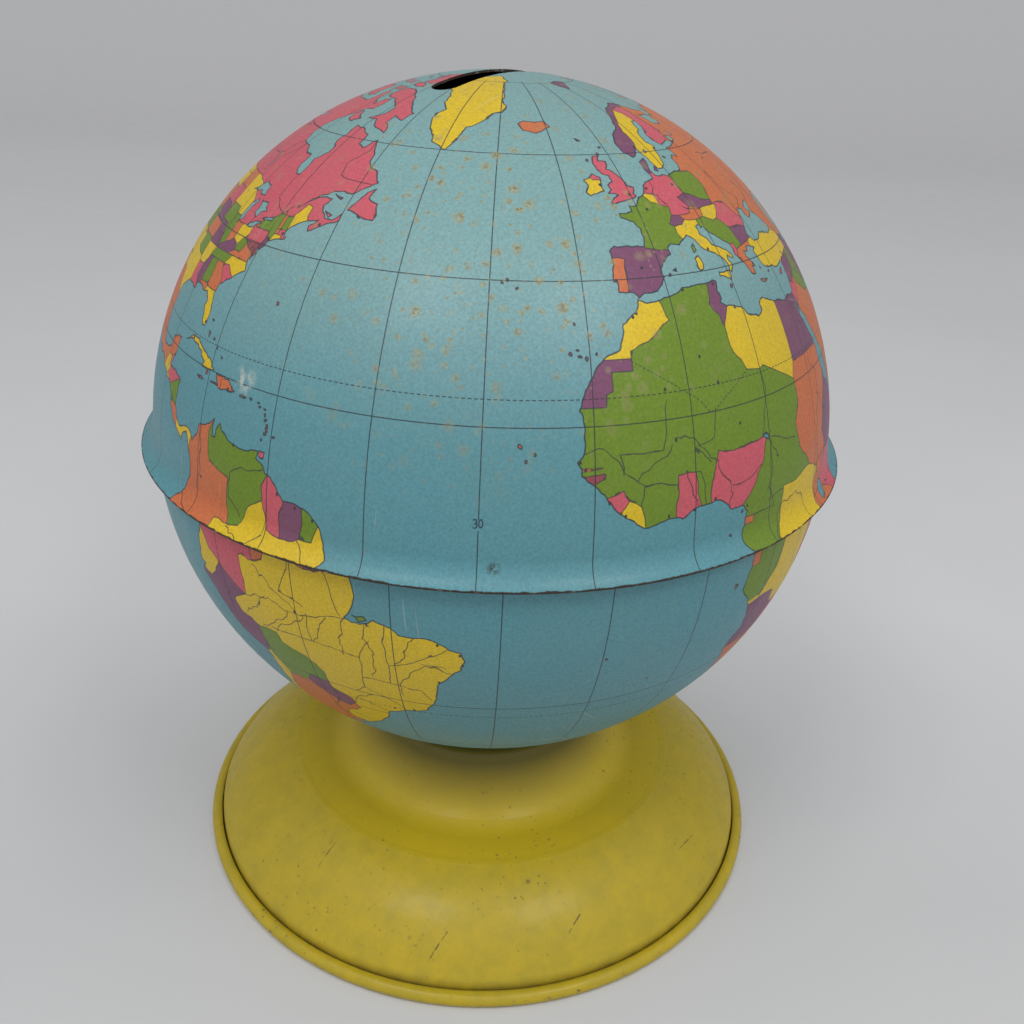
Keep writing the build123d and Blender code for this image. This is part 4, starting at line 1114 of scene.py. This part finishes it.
class Nodes:
    """Short calls for building one material's nodes."""

    def __init__(self, name):
        self.mat = bpy.data.materials.new(name)
        self.mat.use_nodes = True
        self.tree = self.mat.node_tree
        self.shader = self.tree.nodes["Principled BSDF"]
        self.place = self.make("ShaderNodeTexCoord").outputs["Object"]

    def make(self, kind, **inputs):
        node = self.tree.nodes.new(kind)
        for key, value in inputs.items():
            self.feed(node, key.replace("_", " "), value)
        return node

    def feed(self, node, key, value):
        if isinstance(value, bpy.types.NodeSocket):
            self.tree.links.new(value, node.inputs[key])
        else:
            node.inputs[key].default_value = value

    def calc(self, kind, a, b=0.0, clamp=False):
        node = self.tree.nodes.new("ShaderNodeMath")
        node.operation, node.use_clamp = kind, clamp
        self.feed(node, 0, a)
        self.feed(node, 1, b)
        return node.outputs[0]

    add = partialmethod(calc, "ADD")
    sub = partialmethod(calc, "SUBTRACT")
    mul = partialmethod(calc, "MULTIPLY")
    most = partialmethod(calc, "MAXIMUM")

    def mix(self, factor, a, b, kind="MIX"):
        node = self.tree.nodes.new("ShaderNodeMix")
        node.data_type, node.blend_type = "RGBA", kind
        for key, value in ((0, factor), (6, a), (7, b)):
            self.feed(node, key, (*value, 1.0) if isinstance(value, tuple) else value)
        return node.outputs[2]

    def noise(self, scale, detail=2.0, rough=0.5, at=None):
        node = self.make("ShaderNodeTexNoise", Scale=scale, Detail=detail, Roughness=rough,
                         Vector=at or self.place)
        return node.outputs["Fac"]

    def ramp(self, value, low, high, to_low=0.0, to_high=1.0):
        node = self.make("ShaderNodeMapRange", Value=value, From_Min=low, From_Max=high,
                         To_Min=to_low, To_Max=to_high)
        return node.outputs["Result"]

    def fade(self, value, low, high):
        return self.ramp(value, low, high, 1.0, 0.0)

    def split(self, kind, value):
        node = self.tree.nodes.new(kind)
        self.tree.links.new(value, node.inputs[0])
        return node.outputs

    def axes(self):
        """The frame's x, y and z, and the distance from its Z axis."""
        x, y, z = self.split("ShaderNodeSeparateXYZ", self.place)
        return x, y, z, self.calc("SQRT", self.add(self.mul(x, x), self.mul(y, y)))

    def specks(self, scale, size, spread=1.0):
        """Round spots of uneven size: 1 inside a spot."""
        node = self.make("ShaderNodeTexVoronoi", Scale=scale, Vector=self.place)
        each = self.split("ShaderNodeSeparateColor", node.outputs["Color"])
        reach = self.mul(self.calc("POWER", each[0], 3.0 * spread), size)
        return self.sub(1.0, self.calc("DIVIDE", node.outputs["Distance"], reach, clamp=True))

    def stretched(self, x, y, z, turn=(0, 0, 0)):
        return self.make("ShaderNodeMapping", Vector=self.place, Scale=(x, y, z),
                         Rotation=turn).outputs[0]

    def near(self, way, low, high):
        """1 within low of a point on the globe, given by its direction, down to 0 at high."""
        node = self.tree.nodes.new("ShaderNodeVectorMath")
        node.operation = "DISTANCE"
        self.feed(node, 0, self.place)
        x, y, z = way
        size = math.sqrt(x * x + y * y + z * z) / (RADIUS * S)
        self.feed(node, 1, (x / size, y / size, z / size + CENTRE * S))
        return self.fade(node.outputs["Value"], low, high)

    def stroke(self, x, y, start, end, wide):
        """1 along a straight mark between two points in plan, given in millimetres."""
        (ax, ay), (bx, by) = start, end
        ax, ay, dx, dy = ax * S, ay * S, (bx - ax) * S, (by - ay) * S
        px, py = self.sub(x, ax), self.sub(y, ay)
        along = self.add(self.mul(px, dx), self.mul(py, dy))
        along = self.calc("DIVIDE", along, dx * dx + dy * dy, clamp=True)
        px = self.sub(px, self.mul(along, dx))
        py = self.sub(py, self.mul(along, dy))
        away = self.calc("SQRT", self.add(self.mul(px, px), self.mul(py, py)))
        return self.fade(away, 0.5 * wide * S, wide * S)

    def scratches(self, runs, across, down, low, high):
        """Thin marks from noise pulled out along a few directions: (scale, turn) each."""
        marks = 0.0
        for long, turn in runs:
            at = self.stretched(long, across, down or long, turn)
            marks = self.most(marks, self.ramp(self.noise(1.0, 1.0, 0.5, at), low, high))
        return marks

    def attribute(self, name, kind="Fac"):
        node = self.tree.nodes.new("ShaderNodeAttribute")
        node.attribute_name = name
        return node.outputs[kind]

    def bump(self, height, strength, distance, under=None):
        node = self.make("ShaderNodeBump", Height=height, Strength=strength, Distance=distance)
        if under is not None:
            self.feed(node, "Normal", under)
        return node.outputs[0]

    def finish(self, **inputs):
        for key, value in inputs.items():
            value = (*value, 1.0) if isinstance(value, tuple) else value
            self.feed(self.shader, key.replace("_", " "), value)
        return self.mat


def litho(name, half):
    """Printed tinplate: inks, their fine lines, varnish with a painted sheen, foxing, rust with a
    painted shadow at the raw edge, and scratches.
    """
    n = Nodes(name)
    ink = n.attribute("ink", "Color")
    x, y, z, plan = n.axes()
    z = n.sub(z, CENTRE * S)
    down = n.calc("ARCTAN2", plan, z)                       # angle from the north pole
    turned = n.add(n.mul(n.calc("ARCTAN2", y, x), 180 / math.pi), half.hinge + 360)

    def parallel(angle, low, high):
        away = n.mul(n.calc("ABSOLUTE", n.sub(down, math.radians(angle))), RADIUS)
        return n.fade(away, low, high)

    def dashes(rate, low, high):
        return n.fade(n.calc("FRACT", n.mul(turned, rate)), low, high)

    # The graticule and its number's gap. Widths of lines are in millimetres.
    cell = n.calc("FRACT", n.calc("DIVIDE", turned, MERIDIAN_STEP))
    cell = n.calc("ABSOLUTE", n.sub(cell, 0.5))
    away = n.mul(n.sub(0.5, cell), math.radians(MERIDIAN_STEP) / S)
    meridian = n.fade(n.mul(away, plan), 0.055, 0.095)
    meridian = n.mul(meridian, n.ramp(plan, 0.0095, 0.0100))
    lines = n.mul(meridian, n.sub(1.0, n.near(NUMBER_AT, 0.0007, 0.0008)))
    for angle in half.parallels:
        lines = n.most(lines, parallel(angle, 0.055, 0.095))
    lines = n.most(lines, n.mul(parallel(half.tropic, 0.05, 0.09), dashes(1.15, 0.60, 0.66)))
    coast = n.fade(n.attribute("coast"), 0.07, 0.12)
    border = n.fade(n.attribute("line"), 0.05, 0.10)
    desert = n.mul(dashes(1.7, 0.55, 0.62), n.fade(n.attribute("dash"), 0.05, 0.10))
    border = n.most(border, desert)

    # Ink laid unevenly over the white ground, and yellowed varnish.
    grain = n.noise(2600, 2.0, 0.6)
    sea = n.ramp(n.split("ShaderNodeSeparateColor", ink)[2], 0.20, 0.25)
    # The sea is paler toward the crown: partly faded, hazed ink, partly a painted sheen.
    base = n.mix(n.mul(n.ramp(z, 0.018, 0.038, 0.0, 0.22), sea), ink, CROWN_HAZE_AND_SHEEN)
    base = n.mix(1.0, base, n.ramp(grain, 0.3, 0.7, 1.09, 0.83), "MULTIPLY")
    base = n.mix(n.ramp(n.noise(38, 3.0, 0.55), 0.35, 0.75, 0.0, 0.12), base, YELLOWED)
    base = n.mix(n.mul(lines, 0.90), base, GRATICULE_INK)
    base = n.mix(n.mul(coast, 0.90), base, COAST_INK)
    base = n.mix(n.mul(border, 0.85), base, BORDER_INK)

    # Foxing: rosettes of rusty grains through the varnish, thick in a few patches.
    patch = n.ramp(n.noise(26, 2.0, 0.5), 0.44, 0.66, 0.0, 0.6)
    patch = n.mul(patch, n.ramp(z, 0.010, 0.050, 0.15, 1.0))
    for way in FOXED_AT:
        patch = n.most(patch, n.near(way, 0.005, 0.032))
    rosette = n.most(n.specks(430, 0.66, 0.55), n.mul(n.specks(1150, 0.62, 0.6), 0.7))
    rosette = n.most(rosette, n.specks(590, 0.62, 0.6))
    rosette = n.sub(n.mul(rosette, 1.5), n.mul(n.noise(900, 3.0, 0.7), 0.7))
    grains = n.ramp(n.noise(2300, 2.0, 0.6), 0.44, 0.58)
    stain = n.mul(n.ramp(rosette, 0.0, 0.60), patch)
    fox = n.mul(n.mul(n.ramp(rosette, 0.10, 0.80), grains), patch)
    base = n.mix(n.mul(stain, 0.55), base, FOX_STAIN)
    base = n.mix(n.mul(fox, 0.75), base, FOX_BROWN)
    ragged = n.ramp(n.noise(1400, 3.0, 0.6), 0.40, 0.50)
    blot = n.mul(n.near(BLOT_AT, 0.0003, 0.0011), ragged)
    base = n.mix(n.mul(blot, 0.9), base, BLOT_TONE)

    # Rust creeping in from the upper half's raw edge, darkened toward black as a painted shadow
    # under the skirt's edge.
    creep = n.ramp(n.noise(600, 4.0, 0.75), 0.2, 0.8, 0.22, -0.26)
    rust = n.fade(n.add(n.attribute("raw"), creep), 0.06, 0.20) if half is Upper else 0.0
    base = n.mix(rust, base, n.mix(n.noise(1500, 3.0, 0.6), RUST_AND_SHADOW_DARK, RUST_BROWN))

    # Scratches down to the white ground, and one rubbed place.
    runs = ((60, (0.3, 0.9, 0.2)), (80, (1.2, 0.1, 0.8)), (50, (0.7, 2.0, 1.4)))
    scratch = n.scratches(runs, 1500, None, 0.735, 0.765)
    scratch = n.mul(scratch, n.ramp(n.noise(55, 1.0, 0.5), 0.56, 0.64))
    base = n.mix(n.mul(scratch, 0.20), base, WHITE_GROUND)
    ragged = n.ramp(n.noise(900, 3.0, 0.6), 0.45, 0.60)
    scuff = n.mul(n.near(SCUFF_AT, 0.0006, 0.0024), ragged)
    base = n.mix(n.mul(scuff, 0.7), base, RUBBED)

    rough = n.ramp(n.noise(90, 3.0, 0.6), 0.3, 0.7, 0.44, 0.52)
    rough = n.add(rough, n.mul(n.most(fox, rust), 0.35))
    rough = n.add(rough, n.ramp(grain, 0.3, 0.7, -0.04, 0.05))
    wave = n.bump(n.noise(34, 2.0, 0.5), 0.30, 0.0012)
    skin = n.bump(n.noise(1700, 2.0, 0.5), 0.10, 0.00006, wave)
    pits = n.bump(n.add(fox, n.mul(scratch, 0.5)), 0.35, 0.00008, skin)
    return n.finish(Base_Color=base, Roughness=rough, Normal=pits, IOR=1.5,
                    Specular_IOR_Level=0.40, Coat_Weight=0.07, Coat_Roughness=0.16)


def bare_tin(name, fresh, dull):
    """Unprinted side of the tinplate, lacquered or plain, stained and drawn upward."""
    n = Nodes(name)
    tone = n.mix(n.ramp(n.noise(45, 4.0, 0.6), 0.3, 0.7), fresh, dull)
    spot = n.mul(n.ramp(n.specks(420, 0.4), 0.0, 0.5), n.ramp(n.noise(60), 0.45, 0.6))
    tone = n.mix(spot, tone, (0.13, 0.060, 0.025))
    streak = n.noise(1.0, 2.0, 0.6, n.stretched(220, 220, 2600))
    tone = n.mix(n.ramp(streak, 0.4, 0.7, 0.0, 0.25), tone, (0.60, 0.58, 0.52))
    rough = n.add(n.ramp(n.noise(150, 3.0, 0.6), 0.3, 0.7, 0.30, 0.48), n.mul(spot, 0.3))
    rise = n.bump(streak, 0.12, 0.00004, n.bump(n.noise(34, 2.0, 0.5), 0.3, 0.0012))
    return n.finish(Base_Color=tone, Roughness=rough, Normal=rise,
                    Metallic=n.sub(0.92, n.mul(spot, 0.8)))


def raw_edge(name):
    """Sheared edge of the tin, brown with rust and bright only in places."""
    n = Nodes(name)
    rusty = n.ramp(n.noise(520, 4.0, 0.7), 0.28, 0.42)
    tone = n.mix(n.noise(1600, 3.0, 0.6), (0.016, 0.012, 0.010), (0.060, 0.034, 0.020))
    return n.finish(Base_Color=n.mix(rusty, (0.38, 0.36, 0.32), tone),
                    Roughness=n.ramp(rusty, 0.0, 1.0, 0.40, 0.85),
                    Metallic=n.ramp(rusty, 0.0, 1.0, 0.9, 0.1),
                    Normal=n.bump(n.noise(1500, 4.0, 0.7), 0.5, 0.00012))


def steel(name, tone, worn, scale):
    """Zinc-dulled steel with tooling lines round the axis and brown in the low places."""
    n = Nodes(name)
    x, y, z, plan = n.axes()
    fine = 9000.0                            # lines to a metre, before the noise's scale
    turned = n.make("ShaderNodeCombineXYZ", X=n.mul(plan, fine), Y=n.mul(z, fine),
                    Z=n.calc("ARCTAN2", y, x))
    rings = n.noise(scale, 3.0, 0.6, turned.outputs[0])
    brown = n.ramp(n.noise(700, 4.0, 0.7), 0.56, 0.70)
    colour = n.mix(n.noise(300, 4.0, 0.6), tone, worn)
    colour = n.mix(n.mul(brown, 0.8), colour, (0.15, 0.075, 0.035))
    colour = n.mix(n.ramp(rings, 0.35, 0.65, 0.0, 0.3), colour, (0.62, 0.61, 0.58))
    rough = n.add(n.ramp(rings, 0.3, 0.7, 0.25, 0.42), n.mul(brown, 0.35))
    return n.finish(Base_Color=colour, Roughness=rough,
                    Metallic=n.sub(0.95, n.mul(brown, 0.7)),
                    Normal=n.bump(n.add(rings, brown), 0.25, 0.00005))


def enamel(name):
    """Mustard stove enamel of the pedestal, with grime, grit, worn paint, scratches, and painted
    light and shade under the globe.
    """
    n = Nodes(name)
    x, y, z, plan = n.axes()
    base = n.mix(n.ramp(n.noise(30, 4.0, 0.55), 0.3, 0.7), PAINT, PAINT_DULL)
    base = n.mix(n.ramp(n.noise(1300, 3.0, 0.6), 0.30, 0.70, 0.0, 0.34), base, PAINT_MOTTLE)
    base = n.mix(n.ramp(n.noise(210, 5.0, 0.75), 0.40, 0.66, 0.0, 0.55), base, PAINT_GRIMED)
    # The shelf under the globe is painted lighter, as painted light against the globe's shadow,
    # and the neck just under the globe is painted darker, as painted shade.
    base = n.mix(n.ramp(plan, 0.0385, 0.0365, 0.0, 0.55), base, SHELF_PAINTED_LIGHT)
    base = n.mix(n.ramp(z, 0.0168, 0.0244, 0.0, 0.90), base, NECK_PAINTED_SHADE)
    # The crease between the dome and the rolled rim is darkened brown.
    crease = n.mul(n.ramp(plan, 0.0525, 0.0529), n.fade(plan, 0.0533, 0.0538))
    crease = n.mul(crease, n.ramp(z, 0.0042, 0.0022))
    crease_dark = n.mul(crease, n.ramp(n.noise(260, 4.0, 0.6), 0.30, 0.6, 0.10, 0.60))
    base = n.mix(crease_dark, base, CREASE_BROWN_DARK)
    # Grit and brown pinpoints in patches, and the rim rubbed through to dark metal.
    patch = n.ramp(n.noise(48, 2.0, 0.5), 0.42, 0.64)
    spots = n.mul(n.ramp(n.most(n.specks(1100, 0.34), n.specks(430, 0.22)), 0.0, 0.45), patch)
    base = n.mix(n.mul(spots, 0.75), base, GRIT_BROWN)
    rim = n.mul(n.ramp(plan, 0.0551, 0.0553), n.ramp(n.noise(330, 4.0, 0.7), 0.60, 0.66))
    base = n.mix(n.mul(rim, 0.85), base, DARK_METAL)
    runs = ((45, (0.0, 0.0, 0.5)), (70, (0.0, 0.0, 1.9)), (55, (0.0, 0.0, 2.7)))
    scratch = n.scratches(runs, 1300, 60, 0.745, 0.77)
    scratch = n.mul(scratch, n.ramp(n.noise(60, 1.0, 0.5), 0.60, 0.68))
    for start, end in STROKES:
        scratch = n.most(scratch, n.stroke(x, y, start, end, STROKE_WIDTH))
    scratch = n.mul(scratch, n.ramp(n.noise(900, 2.0, 0.6), 0.38, 0.50))
    base = n.mix(n.mul(scratch, 0.85), base, SCRATCHED)
    rough = n.ramp(n.noise(700, 4.0, 0.7), 0.3, 0.7, 0.40, 0.60)
    rough = n.add(rough, n.mul(n.most(spots, crease_dark), 0.3))
    wave = n.bump(n.noise(55, 3.0, 0.5), 0.38, 0.0012)
    skin = n.bump(n.noise(1100, 3.0, 0.65), 0.30, 0.00012, wave)
    pits = n.bump(n.add(n.mul(spots, -1.0), scratch), 0.4, 0.00008, skin)
    return n.finish(Base_Color=base, Roughness=rough, Normal=pits, IOR=1.5,
                    Specular_IOR_Level=0.32, Coat_Weight=0.13, Coat_Roughness=0.19)


# --- The two halves -------------------------------------------------------------
inside_tin = bare_tin("tin_inside", (0.40, 0.36, 0.27), (0.30, 0.25, 0.16))
seam_tin = bare_tin("tin_seam", (0.46, 0.45, 0.42), (0.36, 0.34, 0.31))
edge_tin = raw_edge("tin_raw_edge")
print_north, print_south = litho("litho_print_north", Upper), litho("litho_print_south", Lower)

upper = Sheet(Upper, 1, [(Upper.sphere_end, RING), (Upper.end, RING)], [slot_outline()])
north = upper.build("upper_half_litho", "upper_globe",
                    (print_north, inside_tin, edge_tin))
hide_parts("northern_hemisphere")
rims = [(s, RING) for s in (Lower.ball_end, Lower.shoulder_end, Lower.end)]
lower = Sheet(Lower, -1, [(SEAT_RADIUS, 96)] + rims, [circle(POLE_HOLE, 48)])
south = lower.build("lower_half_litho", "lower_globe",
                    (print_south, seam_tin, edge_tin))
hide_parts("southern_hemisphere")


def coat(node, mat):
    for slot in frame["nodes"][node].material_slots:
        slot.material = mat


coat("pedestal", enamel("pedestal_enamel"))
coat("pivot_rivet", steel("rivet_steel", (0.42, 0.41, 0.39), (0.30, 0.28, 0.25), 1.0))
for k, node in enumerate(("spacer_washer", "inner_washer", "clinch_washer")):
    coat(node, steel(f"washer_steel_{k}", (0.36, 0.35, 0.33), (0.24, 0.22, 0.19), 0.8))

# --- Floor, light and camera ----------------------------------------------------
centre = Vector((0, 0, CENTRE * S))
R = RADIUS * S
turn = Matrix.Rotation(math.radians(-51.0), 4, "Z")          # to the photograph's side


def from_camera_side(x, y, z):
    """A place given in globe radii about the globe's centre, seen from the front."""
    return centre + turn @ (Vector((x, y, z)) * R)


def sweep():
    """Paper laid on the table and up behind it, in metres."""
    near, far, bend, top, half_width = -6.0, 1.0, 0.6, 2.6, 14.0
    rows = [(near, 0.0), (far, 0.0)]
    rows += [(far + bend * math.sin(a), bend * (1 - math.cos(a)))
             for a in np.radians(np.arange(6, 91, 6))]
    rows += [(far + bend, top)]
    verts = [(x, y, z) for y, z in rows for x in (-half_width, half_width)]
    faces = [(2 * k, 2 * k + 1, 2 * k + 3, 2 * k + 2) for k in range(len(rows) - 1)]
    mesh = bpy.data.meshes.new("floor")
    mesh.from_pydata(verts, [], faces)
    mesh.polygons.foreach_set("use_smooth", [True] * len(faces))
    ob = bpy.data.objects.new("floor", mesh)
    ob.matrix_world = turn
    bpy.context.scene.collection.objects.link(ob)
    n = Nodes("floor_paper")
    y = n.axes()[1]
    tone = n.mix(n.ramp(n.noise(9, 3.0, 0.5), 0.3, 0.7), (0.53, 0.53, 0.54), (0.56, 0.56, 0.56))
    # The paper is painted darker from behind the globe back up the sweep, as painted shade.
    tone = n.mix(n.ramp(y, 0.1, 0.9), tone, (0.415, 0.415, 0.42))
    # What the camera and reflections see of the paper is a little paler than the paper.
    ray = n.tree.nodes.new("ShaderNodeLightPath")
    seen = n.most(ray.outputs["Is Camera Ray"], ray.outputs["Is Glossy Ray"])
    pale = n.add(n.ramp(y, -0.03, 0.07, 0.0, 0.085), n.ramp(y, 0.1, 0.8, 0.0, 0.04))
    pale = n.add(pale, n.ramp(y, -0.2, -0.5, 0.0, 0.085))
    ob.data.materials.append(n.finish(
        Base_Color=tone, Roughness=n.ramp(n.noise(60), 0.3, 0.7, 0.6, 0.7),
        Emission_Color=(1.0, 1.0, 1.0), Emission_Strength=n.mul(seen, pale)))


def lamp(name, x):
    """A broad soft lamp on the camera's side, x globe radii right of the globe's centre."""
    data = bpy.data.lights.new(name, "AREA")
    data.shape, data.size, data.size_y = "RECTANGLE", 3.2 * R, 2.6 * R
    data.energy, data.color = 0.60, (1.0, 0.99, 0.97)
    ob = bpy.data.objects.new(name, data)
    bpy.context.scene.collection.objects.link(ob)
    ob.location = from_camera_side(x, -4.5, 6.7)
    ob.rotation_mode = "QUATERNION"
    aim = from_camera_side(0, 0, -0.4) - ob.location
    ob.rotation_quaternion = aim.to_track_quat("-Z", "Y")


sweep()
lamp("window_left", -2.5)
lamp("window_right", 3.5)

# An even world, a little brighter overhead, that the camera sees as pale grey.
sky = bpy.data.worlds.new("room_light")
sky.use_nodes = True
tree = sky.node_tree
facing = tree.nodes.new("ShaderNodeTexCoord")
height = tree.nodes.new("ShaderNodeSeparateXYZ")
bright = tree.nodes.new("ShaderNodeMapRange")
ray = tree.nodes.new("ShaderNodeLightPath")
shown = tree.nodes.new("ShaderNodeMix")
background = tree.nodes["Background"]
bright.interpolation_type = "SMOOTHSTEP"
for key, value in (("From Min", 0.15), ("From Max", 0.70), ("To Min", 0.78), ("To Max", 0.80)):
    bright.inputs[key].default_value = value
background.inputs["Color"].default_value = (0.97, 0.98, 1.0, 1.0)
shown.inputs[3].default_value = 0.56
for out, into in ((facing.outputs["Generated"], height.inputs[0]),
                  (height.outputs[2], bright.inputs["Value"]),
                  (ray.outputs["Is Camera Ray"], shown.inputs[0]),
                  (bright.outputs["Result"], shown.inputs[2]),
                  (shown.outputs[0], background.inputs["Strength"])):
    tree.links.new(out, into)
bpy.context.scene.world = sky
bpy.context.scene.view_settings.view_transform = "Standard"

# The camera, as fitted to the globe and the rim: distance in radii, then degrees.
away, lift, pitch, yaw, roll = 3.1883, *map(math.radians, (22.17, 27.34, 1.40, 2.75))
spot = Vector((0, -away * math.cos(lift), away * math.sin(lift)))
level = math.cos(pitch)
ahead = Vector((math.sin(yaw) * level, math.cos(yaw) * level, -math.sin(pitch)))
right = ahead.cross(Vector((0, 0, 1))).normalized()
over = right.cross(ahead)
across = right * math.cos(roll) + over * math.sin(roll)
upward = over * math.cos(roll) - right * math.sin(roll)
camera = bpy.data.objects.new("camera", bpy.data.cameras.new("camera"))
bpy.context.scene.collection.objects.link(camera)
spin = Matrix((across, upward, -ahead)).transposed().to_4x4()
camera.matrix_world = Matrix.Translation(centre + turn @ (spot * R)) @ turn @ spin
camera.data.sensor_width = 36
camera.data.lens = 35.84
bpy.context.scene.camera = camera
